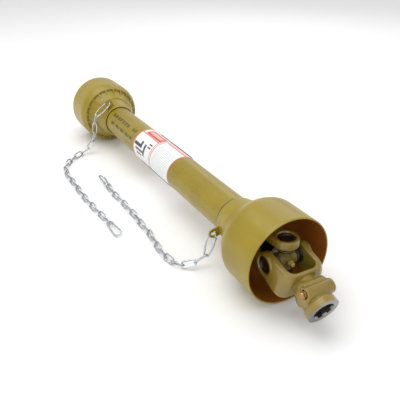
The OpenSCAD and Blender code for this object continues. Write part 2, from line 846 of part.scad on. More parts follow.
module near_push_pin() {
    color([0.80, 0.62, 0.20]) near_end() rotate([0, droop, 0]) push_pin();
}

module far_push_pin() {
    color([0.80, 0.62, 0.20]) far_end() rotate([0, droop, 0]) push_pin();
}

module near_pin_spring() {
    color("silver") near_end() rotate([0, droop, 0]) pin_spring();
}

module far_pin_spring() {
    color("silver") far_end() rotate([0, droop, 0]) pin_spring();
}

module near_chain() {
    color([0.78, 0.80, 0.82]) chain(near_nodes);
}

module far_chain() {
    color([0.78, 0.80, 0.82]) chain(far_nodes);
}

module near_start_hook() {
    color([0.78, 0.80, 0.82]) start_hook(near_path);
}

module far_start_hook() {
    color([0.78, 0.80, 0.82]) start_hook(far_path);
}

module near_end_hook() {
    color([0.78, 0.80, 0.82]) end_hook(near_path, near_nodes);
}

module far_end_hook() {
    color([0.78, 0.80, 0.82]) end_hook(far_path, far_nodes);
}

outer_guard_tube();
near_guard_cone();
near_guard_collar();
near_guard_bearing();
guard_label();
instruction_booklet();
inner_guard_tube();
far_guard_cone();
far_guard_collar();
far_guard_bearing();
outer_profile_tube();
near_tube_yoke();
near_roll_pin();
near_tube_yoke_cups();
near_tube_yoke_snap_rings();
inner_profile_tube();
far_tube_yoke();
far_roll_pin();
far_tube_yoke_cups();
far_tube_yoke_snap_rings();
near_cross();
near_cross_seals();
near_grease_nipple();
far_cross();
far_cross_seals();
far_grease_nipple();
near_end_yoke();
near_end_yoke_cups();
near_end_yoke_snap_rings();
near_push_pin();
near_pin_spring();
far_end_yoke();
far_end_yoke_cups();
far_end_yoke_snap_rings();
far_push_pin();
far_pin_spring();
near_chain();
near_start_hook();
near_end_hook();
far_chain();
far_start_hook();
far_end_hook();
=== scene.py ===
import math
import bmesh
import bpy
from mathutils import Matrix, Vector


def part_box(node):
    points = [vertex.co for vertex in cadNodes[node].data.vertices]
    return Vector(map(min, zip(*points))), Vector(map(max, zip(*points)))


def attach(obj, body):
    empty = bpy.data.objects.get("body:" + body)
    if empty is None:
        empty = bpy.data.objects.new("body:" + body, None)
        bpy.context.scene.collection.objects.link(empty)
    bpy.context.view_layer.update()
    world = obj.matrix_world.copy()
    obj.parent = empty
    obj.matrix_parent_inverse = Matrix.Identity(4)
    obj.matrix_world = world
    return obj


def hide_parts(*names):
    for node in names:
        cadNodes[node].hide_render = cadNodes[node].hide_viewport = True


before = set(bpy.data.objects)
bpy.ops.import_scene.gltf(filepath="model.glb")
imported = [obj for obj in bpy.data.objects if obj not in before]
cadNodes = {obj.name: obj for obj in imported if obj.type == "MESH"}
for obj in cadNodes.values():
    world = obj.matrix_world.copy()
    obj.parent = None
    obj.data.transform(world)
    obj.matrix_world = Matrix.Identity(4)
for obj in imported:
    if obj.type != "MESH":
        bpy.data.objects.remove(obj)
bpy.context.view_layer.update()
mm = 0.001

# the shaft line, read from the guard cone; pieces are made in millimetres about a joint
# centre with X outwards, and then put at the near or the far end
coneLow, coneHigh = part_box("near_guard_cone")
shaft = {"mouthReach": 12, "droop": 19}
axisY = (coneLow.y + coneHigh.y) / 2
axisZ = (coneLow.z + coneHigh.z) / 2
jointX = coneHigh.x - shaft["mouthReach"] * mm
lineUp = Matrix.Translation((0, axisY, axisZ))
nearEnd = Matrix.Translation((jointX, axisY, axisZ))
farEnd = Matrix.Translation((-jointX, axisY, axisZ)) @ Matrix.Rotation(math.pi, 4, "Z")
ends = {"near": nearEnd, "far": farEnd}
level = Matrix.Identity(4)
drooped = Matrix.Rotation(math.radians(shaft["droop"]), 4, "Y")
print("frame loaded, shaft line at", round(axisY, 4), round(axisZ, 4))


def asMesh(name, vertices, faces):
    mesh = bpy.data.meshes.new(name)
    mesh.from_pydata([tuple(v) for v in vertices], [], faces)
    mesh.update()
    return mesh


def tidyMesh(mesh, weld=0.001):
    work = bmesh.new()
    work.from_mesh(mesh)
    bmesh.ops.remove_doubles(work, verts=work.verts, dist=weld)
    bmesh.ops.dissolve_degenerate(work, edges=work.edges, dist=weld / 10)
    bmesh.ops.recalc_face_normals(work, faces=work.faces)
    work.to_mesh(mesh)
    work.free()
    return mesh


def joinMeshes(name, meshes):
    work = bmesh.new()
    for mesh in meshes:
        work.from_mesh(mesh)
    joined = bpy.data.meshes.new(name)
    for finish in meshes[0].materials:
        joined.materials.append(finish)
    work.to_mesh(joined)
    work.free()
    return joined


def shadeSmooth(mesh, angle=35):
    mesh.polygons.foreach_set("use_smooth", [True] * len(mesh.polygons))
    mesh.set_sharp_from_angle(angle=math.radians(angle))
    mesh.update()


def addObject(name, data):
    made = bpy.data.objects.new(name, data)
    bpy.context.scene.collection.objects.link(made)
    return made


def putPiece(name, mesh, where, body, finishes=(), standsFor=(), angle=35):
    # moves a millimetre mesh to its place in the frame and hangs it on its body
    mesh.transform(where @ Matrix.Scale(mm, 4))
    for finish in finishes:
        mesh.materials.append(finish)
    shadeSmooth(mesh, angle)
    piece = addObject(name, mesh)
    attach(piece, body)
    if standsFor:
        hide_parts(*standsFor)


def putPair(name, mesh, turn, bodies, node, angle):
    # the same mesh at both ends of the shaft
    for (end, place), body, own in zip(ends.items(), bodies, (mesh.copy(), mesh)):
        putPiece(end + name, own, place @ turn, body, standsFor=[end + node],
                 angle=angle)


def evaluatedMesh(holder, name):
    # the plain mesh that a holder's modifiers make; the holder itself goes
    graph = bpy.context.evaluated_depsgraph_get()
    mesh = bpy.data.meshes.new_from_object(holder.evaluated_get(graph))
    mesh.name = name
    holder.modifiers.clear()
    bpy.data.objects.remove(holder)
    return mesh


def holderOf(mesh):
    return addObject("holder", mesh)


def arcPoints(centre, radius, start, end, steps):
    return [(centre[0] + radius * math.cos(math.radians(start + (end - start) * i / steps)),
             centre[1] + radius * math.sin(math.radians(start + (end - start) * i / steps)))
            for i in range(steps + 1)]


def ringPoints(radius, steps, start=0):
    return arcPoints((0, 0), radius, start, start + 360, steps)[:-1]


def bandFaces(rows, columns, closed=True):
    # four-sided faces between neighbouring rows of points, each row a closed loop
    faces = []
    for i in range(rows if closed else rows - 1):
        j = (i + 1) % rows
        for k in range(columns):
            m = (k + 1) % columns
            faces.append((i * columns + k, i * columns + m, j * columns + m, j * columns + k))
    return faces


def turnedMesh(name, outline, segments=128):
    # closed outline of (x, radius) points turned about X
    vertices = []
    for k in range(segments):
        a = 2 * math.pi * k / segments
        vertices += [(x, r * math.cos(a), r * math.sin(a)) for x, r in outline]
    return tidyMesh(asMesh(name, vertices, bandFaces(segments, len(outline))))


def softCorners(outline, radius, steps=3):
    # the same outline with each corner rounded off by up to the radius
    out = []
    count = len(outline)
    for i, point in enumerate(outline):
        here = Vector(point)
        back = Vector(outline[i - 1]) - here
        on = Vector(outline[(i + 1) % count]) - here
        if back.length < 1e-6 or on.length < 1e-6:
            out.append(point)
            continue
        cut = min(radius, back.length * 0.45, on.length * 0.45)
        a = here + back.normalized() * cut
        b = here + on.normalized() * cut
        for s in range(steps + 1):
            t = s / steps
            p = a * (1 - t) ** 2 + here * 2 * t * (1 - t) + b * t ** 2
            out.append((p.x, p.y))
    return out


def prismMesh(name, outline, low, high, axis):
    # outline extruded along an axis: XY for Z, XZ for Y, YZ for X
    turn = {"Z": lambda p, h: (p[0], p[1], h), "Y": lambda p, h: (p[0], h, p[1]),
            "X": lambda p, h: (h, p[0], p[1])}[axis]
    count = len(outline)
    vertices = [turn(p, low) for p in outline] + [turn(p, high) for p in outline]
    faces = [tuple(range(count)), tuple(range(2 * count - 1, count - 1, -1))]
    faces += bandFaces(2, count, closed=False)
    return tidyMesh(asMesh(name, vertices, faces))


def rodMesh(name, radius, low, high, axis, centre=(0, 0), segments=96):
    outline = [(centre[0] + y, centre[1] + z) for y, z in ringPoints(radius, segments)]
    return prismMesh(name, outline, low, high, axis)


def ballMesh(name, radius, centre, squash=(1, 1, 1)):
    work = bmesh.new()
    bmesh.ops.create_icosphere(work, subdivisions=4, radius=radius)
    for v in work.verts:
        v.co = Vector((v.co.x * squash[0], v.co.y * squash[1], v.co.z * squash[2])) + Vector(centre)
    mesh = bpy.data.meshes.new(name)
    work.to_mesh(mesh)
    work.free()
    return mesh


def combined(base, others, operation, name):
    # boolean of one mesh with others in turn; faces cut by another keep its material slot
    holder = holderOf(base)
    helpers = []
    for other in others:
        helper = holderOf(other)
        helper.hide_render = True
        modifier = holder.modifiers.new("cut", "BOOLEAN")
        modifier.operation = operation
        modifier.solver = "EXACT"
        modifier.object = helper
        helpers.append(helper)
    mesh = evaluatedMesh(holder, name)
    for gone in helpers:
        bpy.data.objects.remove(gone)
    return mesh


def castMesh(name, parts, voxel, rounds):
    # overlapping closed parts melted into one skin, with soft inner and outer corners
    holder = holderOf(joinMeshes(name, parts))
    skin = holder.modifiers.new("skin", "REMESH")
    skin.mode = "VOXEL"
    skin.voxel_size = voxel
    soften = holder.modifiers.new("soften", "SMOOTH")
    soften.factor = 0.5
    soften.iterations = rounds
    return evaluatedMesh(holder, name)


def wireMesh(name, path, radius, sides=14, swell=None):
    # round wire along a closed path of points
    points = [Vector(p) for p in path]
    count = len(points)
    frames = []
    side = None
    for i in range(count):
        along = (points[(i + 1) % count] - points[i - 1]).normalized()
        if side is None:
            side = along.orthogonal().normalized()
        side = (side - along * side.dot(along)).normalized()
        frames.append((points[i], along, side.copy()))
    # the twist left over after one lap is shared out along the wire
    last, along = frames[-1][2], frames[0][1]
    carried = (last - along * last.dot(along)).normalized()
    twist = math.atan2(along.dot(carried.cross(frames[0][2])), carried.dot(frames[0][2]))
    vertices = []
    for i, (centre, along, across) in enumerate(frames):
        u = Matrix.Rotation(twist * i / count, 3, along) @ across
        v = along.cross(u)
        r = radius * (swell(i / count) if swell else 1)
        vertices += [centre + (u * math.cos(2 * math.pi * k / sides)
                               + v * math.sin(2 * math.pi * k / sides)) * r for k in range(sides)]
    return tidyMesh(asMesh(name, vertices, bandFaces(count, sides)))


def addNode(tree, kind, inputs=None, **settings):
    # a node whose inputs are set to values or linked to sockets, by name or number
    made = tree.nodes.new(kind)
    for key, value in settings.items():
        setattr(made, key, value)
    for key, value in (inputs or {}).items():
        socket = made.inputs[key]
        if isinstance(value, bpy.types.NodeSocket):
            tree.links.new(value, socket)
        else:
            socket.default_value = value
    return made


def paint(red, green, blue):
    # a colour as it looks on a screen, 0 to 255, in linear light
    return tuple((c / 255 / 12.92) if c <= 10 else ((c / 255 + 0.055) / 1.055) ** 2.4
                 for c in (red, green, blue)) + (1,)


def newMaterial(name, **constants):
    material = bpy.data.materials.new(name)
    material.use_nodes = True
    tree = material.node_tree
    tree.nodes.clear()
    output = tree.nodes.new("ShaderNodeOutputMaterial")
    shader = tree.nodes.new("ShaderNodeBsdfPrincipled")
    for key, value in constants.items():
        shader.inputs[key.replace("_", " ")].default_value = value
    tree.links.new(shader.outputs[0], output.inputs["Surface"])
    place = tree.nodes.new("ShaderNodeTexCoord")
    return material, tree, shader, place.outputs["Object"]


def noiseOf(tree, place, scale, detail=3, stretch=None):
    if stretch:
        place = addNode(tree, "ShaderNodeMapping", {"Vector": place, "Scale": stretch}).outputs[0]
    return addNode(tree, "ShaderNodeTexNoise", {
        "Vector": place, "Scale": scale, "Detail": detail}).outputs["Fac"]


def rampOf(tree, factor, stops):
    ramp = addNode(tree, "ShaderNodeValToRGB", {"Fac": factor})
    while len(ramp.color_ramp.elements) < len(stops):
        ramp.color_ramp.elements.new(0.5)
    for element, (position, colour) in zip(ramp.color_ramp.elements, stops):
        element.position = position
        element.color = colour if isinstance(colour, tuple) else (colour, colour, colour, 1)
    return ramp.outputs["Color"]


def mixOf(tree, factor, first, second, how="MIX"):
    mix = addNode(tree, "ShaderNodeMix", {0: factor}, data_type="RGBA", blend_type=how)
    for index, value in ((6, first), (7, second)):
        if isinstance(value, bpy.types.NodeSocket):
            tree.links.new(value, mix.inputs[index])
        else:
            mix.inputs[index].default_value = value
    return mix.outputs[2]


def mathOf(tree, how, first, second=0.0):
    return addNode(tree, "ShaderNodeMath", {0: first, 1: second}, operation=how).outputs[0]


def bumpOf(tree, height, strength, distance, before=None):
    inputs = {"Height": height, "Strength": strength, "Distance": distance}
    if before:
        inputs["Normal"] = before
    return addNode(tree, "ShaderNodeBump", inputs).outputs[0]


def fill(tree, shader, colour, rough=None, normal=None):
    for name, source in (("Base Color", colour), ("Roughness", rough), ("Normal", normal)):
        if source:
            tree.links.new(source, shader.inputs[name])


# the camera stands where the photograph was taken from
view = {"place": (0.9719, -0.3981, 0.5595), "yaw": -61.17, "pitch": 28.56, "lens": 47.6}
camera = addObject("camera", bpy.data.cameras.new("camera"))
camera.data.lens = view["lens"]
camera.data.sensor_width = 36
camera.data.clip_start = 0.05
camera.location = view["place"]
pitch, yaw = math.radians(view["pitch"]), math.radians(view["yaw"])
forward = Vector((math.sin(yaw) * math.cos(pitch), math.cos(yaw) * math.cos(pitch),
                  -math.sin(pitch)))
camera.rotation_euler = forward.to_track_quat("-Z", "Y").to_euler()
bpy.context.scene.camera = camera
bpy.context.scene.view_settings.view_transform = "Standard"

studio = {"floorSize": 14, "floorDrop": 0.0003, "floorTone": 0.93, "sky": 0.74}
floor = addObject("floor", asMesh("floor", [
    (x * studio["floorSize"], y * studio["floorSize"], -studio["floorDrop"])
    for x, y in ((-1, -1), (1, -1), (1, 1), (-1, 1))], [(0, 1, 2, 3)]))
floorPaint, tree, shader, place = newMaterial("floorPaint", Roughness=0.9)
shader.inputs["Base Color"].default_value = (studio["floorTone"],) * 3 + (1,)
shader.inputs["Specular IOR Level"].default_value = 0.1
floor.data.materials.append(floorPaint)

world = bpy.data.worlds.new("studio")
bpy.context.scene.world = world
world.use_nodes = True
tree = world.node_tree
tree.nodes.clear()
rays = addNode(tree, "ShaderNodeLightPath")
soft = addNode(tree, "ShaderNodeBackground", {"Color": (1, 1, 1, 1), "Strength": studio["sky"]})
bright = addNode(tree, "ShaderNodeBackground", {"Color": (1, 1, 1, 1), "Strength": 1.0})
both = addNode(tree, "ShaderNodeMixShader", {0: rays.outputs["Is Camera Ray"]})
tree.links.new(soft.outputs[0], both.inputs[1])
tree.links.new(bright.outputs[0], both.inputs[2])
skyOut = tree.nodes.new("ShaderNodeOutputWorld")
tree.links.new(both.outputs[0], skyOut.inputs["Surface"])

lamps = {
    "keyLamp": {"at": (-0.25, -0.35, 2.3), "to": (0, 0, 0), "size": 2.2, "power": 30},
    "sideLamp": {"at": (1.6, -1.6, 1.1), "to": (0.2, 0, 0.05), "size": 1.4, "power": 8},
    "backLamp": {"at": (-1.4, 1.5, 1.4), "to": (0, 0, 0.05), "size": 1.4, "power": 6},
}
for name, lamp in lamps.items():
    light = bpy.data.lights.new(name, "AREA")
    light.size = lamp["size"]
    light.energy = lamp["power"]
    fixture = addObject(name, light)
    fixture.location = lamp["at"]
    aim = Vector(lamp["to"]) - Vector(lamp["at"])
    fixture.rotation_euler = aim.to_track_quat("-Z", "Y").to_euler()
print("camera, floor and light ready")


def mouldedPlastic(name, low, high, grime, gloss):
    material, tree, shader, place = newMaterial(name)
    clouds = noiseOf(tree, place, 14, 4)
    colour = rampOf(tree, clouds, [(0.3, paint(*low)), (0.7, paint(*high))])
    scuffs = rampOf(tree, noiseOf(tree, place, 60, 5, stretch=(0.35, 2.2, 2.2)),
                    [(0.6, 0.0), (0.78, 1.0)])
    colour = mixOf(tree, mathOf(tree, "MULTIPLY", scuffs, 0.16), colour, paint(*grime))
    rough = rampOf(tree, noiseOf(tree, place, 220, 3), [(0.2, gloss - 0.06), (0.8, gloss + 0.08)])
    normal = bumpOf(tree, noiseOf(tree, place, 26, 1), 0.25, 0.0012)
    normal = bumpOf(tree, noiseOf(tree, place, 1500, 2), 0.12, 0.00012, normal)
    fill(tree, shader, colour, rough, normal)
    return material


dryDust = (190, 174, 110)
guardPlastic = mouldedPlastic("guardPlastic", (140, 120, 18), (154, 134, 26), dryDust, 0.33)
# darker, browner copy of the guard plastic for the inner faces of the bell and the collar's seam
# gap: painted shade
insideShadePlastic = mouldedPlastic("insideShadePlastic", (150, 84, 20), (168, 102, 32), (84, 50, 16), 0.4)
# darker plastic for the deep outer walls of the pockets: painted shade
pocketShadePlastic = mouldedPlastic("pocketShadePlastic", (118, 98, 22), (134, 112, 28), (70, 52, 14), 0.4)
tubePlastic = mouldedPlastic("tubePlastic", (138, 118, 16), (152, 131, 24), dryDust, 0.3)
printedPlastic = mouldedPlastic("printedPlastic", (138, 118, 16), (152, 131, 24), dryDust, 0.3)


def within(tree, value, low, high):
    above = mathOf(tree, "GREATER_THAN", value, low)
    return mathOf(tree, "MULTIPLY", above, mathOf(tree, "LESS_THAN", value, high))


def finishParts(material):
    # what is needed to draw over a finished material's colour
    tree = material.node_tree
    shader = next(n for n in tree.nodes if n.type == "BSDF_PRINCIPLED")
    place = next(n for n in tree.nodes if n.type == "TEX_COORD").outputs["Object"]
    return tree, shader, place, shader.inputs["Base Color"].links[0].from_socket


def lipShadow(material, where, reach, ink):
    # a narrow dark line painted on a tube just behind a collar's lip: painted shade in the seam
    tree, shader, place, colour = finishParts(material)
    x = addNode(tree, "ShaderNodeSeparateXYZ", {0: place}).outputs["X"]
    off = mathOf(tree, "ABSOLUTE", mathOf(tree, "SUBTRACT", x, where * mm))
    mask = rampOf(tree, mathOf(tree, "DIVIDE", off, reach * mm), [(0.6, 0.85), (1.0, 0.0)])
    fill(tree, shader, mixOf(tree, mask, colour, ink))


def printRows(material, rows, ink):
    # rows of uneven bars along a tube: each row has its ends in mm, its angle, half its
    # height in degrees and the pitch of its bars
    tree, shader, place, colour = finishParts(material)
    parts = addNode(tree, "ShaderNodeSeparateXYZ", {0: place})
    y = mathOf(tree, "SUBTRACT", parts.outputs["Y"], axisY)
    z = mathOf(tree, "SUBTRACT", parts.outputs["Z"], axisZ)
    angle = mathOf(tree, "DEGREES", mathOf(tree, "ARCTAN2", z, y))
    x = mathOf(tree, "DIVIDE", parts.outputs["X"], mm)
    rough = noiseOf(tree, place, 170, 2)
    for low, high, middle, half, pitch in rows:
        bar = mathOf(tree, "FRACT", mathOf(tree, "DIVIDE", mathOf(tree, "SUBTRACT", x, low), pitch))
        bar = mathOf(tree, "LESS_THAN", bar, mathOf(tree, "MULTIPLY", rough, 1.35))
        strip = mathOf(tree, "MULTIPLY", within(tree, x, low, high),
                       within(tree, angle, middle - half, middle + half))
        mask = mathOf(tree, "MULTIPLY", mathOf(tree, "MULTIPLY", bar, strip), 0.82)
        colour = mixOf(tree, mask, colour, ink)
    fill(tree, shader, colour)


marks = {
    "seamBehind": 158.4, "seamReach": {"near": 2.4, "far": 1.6}, "grease": (70, 52, 14),
    "rows": [(-262, -158, 126, 7, 15), (-140, -118, 125, 7, 12), (-254, -122, 157, 6, 30)],
    "ink": (62, 52, 14),
}
seamAt = jointX / mm + shaft["mouthReach"] - marks["seamBehind"]
# painted shade: a dark line behind the lip of each collar, near and far
lipShadow(printedPlastic, seamAt - marks["seamReach"]["near"], marks["seamReach"]["near"],
          paint(*marks["grease"]))
lipShadow(tubePlastic, -seamAt, marks["seamReach"]["far"], paint(*marks["grease"]))
printRows(printedPlastic, marks["rows"], paint(*marks["ink"]))


def castPaint():
    material, tree, shader, place = newMaterial("castPaint", Coat_Weight=0.5,
                                                Coat_Roughness=0.12)
    clouds = noiseOf(tree, place, 22, 4)
    colour = rampOf(tree, clouds, [(0.3, paint(122, 102, 26)), (0.7, paint(148, 124, 50))])
    # the paint turns paler on sharp convex edges
    convexEdgeTone = rampOf(tree, addNode(tree, "ShaderNodeNewGeometry").outputs["Pointiness"],
                  [(0.52, 0.0), (0.6, 1.0)])
    colour = mixOf(tree, mathOf(tree, "MULTIPLY", convexEdgeTone, 0.35), colour, paint(190, 170, 104))
    specks = rampOf(tree, noiseOf(tree, place, 420, 2), [(0.66, 0.0), (0.72, 1.0)])
    colour = mixOf(tree, mathOf(tree, "MULTIPLY", specks, 0.25), colour, paint(120, 98, 52))
    rough = rampOf(tree, noiseOf(tree, place, 160, 3), [(0.2, 0.3), (0.8, 0.42)])
    dimples = bumpOf(tree, noiseOf(tree, place, 330, 3), 0.35, 0.0005)
    fill(tree, shader, colour, rough,
         bumpOf(tree, noiseOf(tree, place, 60, 2), 0.3, 0.0012, dimples))
    return material


def bareMetal(name, low, high, rough, lines, stretch):
    low, high = paint(*low), paint(*high)
    material, tree, shader, place = newMaterial(name, Metallic=1.0)
    streaks = noiseOf(tree, place, lines, 3, stretch=stretch)
    patches = noiseOf(tree, place, 45, 3)
    colour = mixOf(tree, patches, low, high)
    colour = mixOf(tree, mathOf(tree, "MULTIPLY", streaks, 0.3), colour, low, "MULTIPLY")
    rough = rampOf(tree, streaks, [(0.25, rough - 0.08), (0.75, rough + 0.1)])
    fill(tree, shader, colour, rough, bumpOf(tree, streaks, 0.2, 0.0001))
    return material


def sealRubber():
    material, tree, shader, place = newMaterial("sealRubber")
    dust = rampOf(tree, noiseOf(tree, place, 180, 4), [(0.45, paint(20, 20, 20)),
                                                       (0.8, paint(52, 50, 46))])
    rough = rampOf(tree, noiseOf(tree, place, 90, 2), [(0.2, 0.4), (0.8, 0.62)])
    fill(tree, shader, dust, rough, bumpOf(tree, noiseOf(tree, place, 700, 2), 0.3, 0.0002))
    return material


yokePaint = castPaint()
even = (1, 1, 1)
turnedSteel = bareMetal("turnedSteel", (120, 122, 122), (176, 178, 180), 0.3, 900, (1, 0.1, 0.1))
boreSteel = bareMetal("boreSteel", (112, 108, 88), (150, 146, 122), 0.4, 700, (0.1, 1, 1))
bearingSteel = bareMetal("bearingSteel", (92, 90, 86), (138, 136, 130), 0.34, 800, even)
tubeSteel = bareMetal("tubeSteel", (96, 96, 98), (150, 150, 152), 0.4, 500, (0.05, 1, 1))
springSteel = bareMetal("springSteel", (120, 118, 112), (168, 166, 160), 0.3, 900, even)
goldZinc = bareMetal("goldZinc", (168, 128, 66), (206, 172, 110), 0.3, 600, even)
brightZinc = bareMetal("brightZinc", (176, 180, 186), (226, 230, 234), 0.24, 420, even)
blackRubber = sealRubber()
bearingNylon = mouldedPlastic("bearingNylon", (222, 216, 200), (236, 231, 218), (190, 180, 150),
                              0.45)
crossPaint = mouldedPlastic("crossPaint", (118, 98, 40), (142, 122, 60), (88, 74, 40), 0.4)
nipplePaint = mouldedPlastic("nipplePaint", (170, 146, 70), (192, 168, 92), (120, 98, 50), 0.32)
print("finishes ready")


def newTree(name, sockets):
    tree = bpy.data.node_groups.new(name, "GeometryNodeTree")
    tree.interface.new_socket("Geometry", in_out="INPUT", socket_type="NodeSocketGeometry")
    for label, kind in sockets:
        tree.interface.new_socket(label, in_out="INPUT", socket_type="NodeSocket" + kind)
    tree.interface.new_socket("Geometry", in_out="OUTPUT", socket_type="NodeSocketGeometry")
    return tree, tree.nodes.new("NodeGroupInput"), tree.nodes.new("NodeGroupOutput")


def grownMesh(name, source, tree, values):
    # runs a node tree on a mesh and gives the plain mesh that it makes
    holder = holderOf(source)
    modifier = holder.modifiers.new("grow", "NODES")
    modifier.node_group = tree
    for item in tree.interface.items_tree:
        if item.item_type == "SOCKET" and item.in_out == "INPUT" and item.name in values:
            modifier[item.identifier] = values[item.name]
    return evaluatedMesh(holder, name)


ringTree, given, out = newTree("sectorsRoundShaft", [
    ("Sectors", "Int"), ("Weld", "Float"), ("Outside", "Material"), ("Inside", "Material"),
    ("Walls", "Material")])
points = addNode(ringTree, "GeometryNodePoints", {"Count": given.outputs["Sectors"]})
step = mathOf(ringTree, "DIVIDE", 2 * math.pi, given.outputs["Sectors"])
turn = mathOf(ringTree, "MULTIPLY", addNode(ringTree, "GeometryNodeInputIndex").outputs[0], step)
spin = addNode(ringTree, "ShaderNodeCombineXYZ", {"X": turn})
copies = addNode(ringTree, "GeometryNodeInstanceOnPoints", {
    "Points": points.outputs[0], "Instance": given.outputs["Geometry"],
    "Rotation": spin.outputs[0]})
solid = addNode(ringTree, "GeometryNodeRealizeInstances", {"Geometry": copies.outputs[0]})
welded = addNode(ringTree, "GeometryNodeMergeByDistance", {
    "Geometry": solid.outputs[0], "Distance": given.outputs["Weld"]})
made = addNode(ringTree, "GeometryNodeSetMaterial", {
    "Geometry": welded.outputs[0], "Material": given.outputs["Outside"]})
# inner faces and deep pocket walls take darker materials, which paint the shade there
for mark, finish in (("inside", "Inside"), ("wall", "Walls")):
    marked = addNode(ringTree, "GeometryNodeInputNamedAttribute", {"Name": mark},
                     data_type="BOOLEAN")
    made = addNode(ringTree, "GeometryNodeSetMaterial", {
        "Geometry": made.outputs[0], "Selection": marked.outputs["Attribute"],
        "Material": given.outputs[finish]})
ringTree.links.new(made.outputs[0], out.inputs["Geometry"])


def sectorMesh(name, rows, columnsAt, dipAt):
    # one sector of a ring: rows of (x, radius, inside) and, for each row, its angles;
    # dipAt says how far the skin sinks there
    vertices, faces, inside, walls = [], [], [], []
    for x, r, isInner in rows:
        for angle, near in columnsAt(r):
            sunk = r - dipAt(x, r, near) if not isInner else r
            vertices.append((x, sunk * math.cos(angle), sunk * math.sin(angle)))
    width = len(columnsAt(rows[0][1]))
    for i in range(len(rows)):
        j = (i + 1) % len(rows)
        for k in range(width - 1):
            quad = (i * width + k, i * width + k + 1, j * width + k + 1, j * width + k)
            faces.append(quad)
            depths = [rows[q // width][1] - math.hypot(*vertices[q][1:]) for q in quad]
            # the deep end walls of a pocket are marked for the darker material of painted shade
            walls.append(max(depths) > 3 and min(depths) < 1)
            inside.append(rows[i][2] and rows[j][2])
    mesh = asMesh(name, vertices, faces)
    for label, marks in (("inside", inside), ("wall", walls)):
        mesh.attributes.new(label, "BOOLEAN", "FACE").data.foreach_set("value", marks)
    return mesh


def sectorColumns(count, edges, middle):
    # angles across one sector: columns at fixed distances from the rib's middle, in mm,
    # and evenly spread ones between them
    def at(radius):
        half = math.pi / count
        left = [(-half + e / radius, e) for e in edges]
        start, end = left[-1][0], -left[-1][0]
        mid = [(start + (end - start) * i / middle, 99) for i in range(1, middle)]
        right = [(-a, e) for a, e in reversed(left)]
        return left + mid + right
    return at


cone = {
    "radius": 77.5, "wall": 2.5, "straight": 70, "rounding": 14, "drop": 3.5, "ridge": 8,
    "ridgeDrop": 4, "band": 16, "rear": 10, "shoulder": 50, "spigot": 44, "flange": 6,
    "pockets": 20, "depth": 5.6, "rib": 3.2, "endWall": 1.5, "draft": 0.5,
    "hole": {"at": 109.5, "angle": 61, "radius": 2.4},
}
cone["ridgeAt"] = cone["straight"] + cone["rounding"]
cone["bandAt"] = cone["ridgeAt"] + cone["ridge"]
cone["rearAt"] = cone["bandAt"] + cone["band"]
cone["endAt"] = cone["rearAt"] + cone["rear"]
cone["ridgeR"] = cone["radius"] - cone["drop"]
cone["bandR"] = cone["ridgeR"] - cone["ridgeDrop"]
cone["faceDrop"] = ((cone["bandR"] - cone["depth"] + 0.1 - cone["shoulder"])
                    / (cone["band"] + cone["rear"]))
cone["rearR"] = cone["shoulder"] + cone["faceDrop"] * cone["rear"]


def coneRows():
    c = cone
    arcR = (c["rounding"] ** 2 + c["drop"] ** 2) / (2 * c["drop"])
    bandSlope = (c["bandR"] - c["rearR"]) / c["band"]
    # rounded lip, straight part, rounded part, ridge
    outside = [(0.0, c["radius"] - 1.5), (0.0, c["radius"] - 0.9), (0.35, c["radius"] - 0.25),
               (1.0, c["radius"])]
    outside += [(c["straight"] * t, c["radius"]) for t in (0.1, 0.3, 0.55, 0.8, 1.0)]
    for i in range(1, 10):
        d = c["rounding"] * i / 10
        outside.append((c["straight"] + d, c["radius"] - arcR + math.sqrt(arcR ** 2 - d ** 2)))
    outside += [(c["ridgeAt"] - 0.5, c["ridgeR"] + 0.2), (c["ridgeAt"] + 0.5, c["ridgeR"] - 0.25),
                (c["ridgeAt"] + 4, c["ridgeR"] - 2), (c["bandAt"] - 0.5, c["bandR"] + 0.25),
                (c["bandAt"], c["bandR"] - 0.06), (c["bandAt"] + 0.4, c["bandR"] - 0.42)]
    lengths = [1.1, c["endWall"], c["endWall"] + c["draft"], 3.5, 6, 8.5, 11, 13.5, 15, 15.6]
    outside += [(c["bandAt"] + t, c["bandR"] - bandSlope * t) for t in lengths]
    outside += [(c["rearAt"] + c["rear"] * t, c["rearR"] - c["faceDrop"] * c["rear"] * t)
                for t in (0.08, 0.35, 0.7, 0.94)]
    outside += [(c["endAt"], c["shoulder"] - 0.3), (c["endAt"], c["spigot"])]
    thick = c["wall"] + 1
    flangeAt = c["endAt"] - c["flange"]
    inside = [(flangeAt, c["spigot"]),
              (flangeAt, c["shoulder"] + c["faceDrop"] * c["flange"] - thick),
              (c["bandAt"], c["bandR"] - c["depth"] - thick),
              (c["ridgeAt"] - 2, c["ridgeR"] - c["wall"] - 0.5)]
    inside += [(c["straight"] * t, c["radius"] - c["wall"]) for t in (1.0, 0.6, 0.25, 0.03)]
    inside += [(0.4, c["radius"] - c["wall"] + 0.2)]
    reach = shaft["mouthReach"]
    return ([(reach - d, r, False) for d, r in outside]
            + [(reach - d, r, True) for d, r in inside])


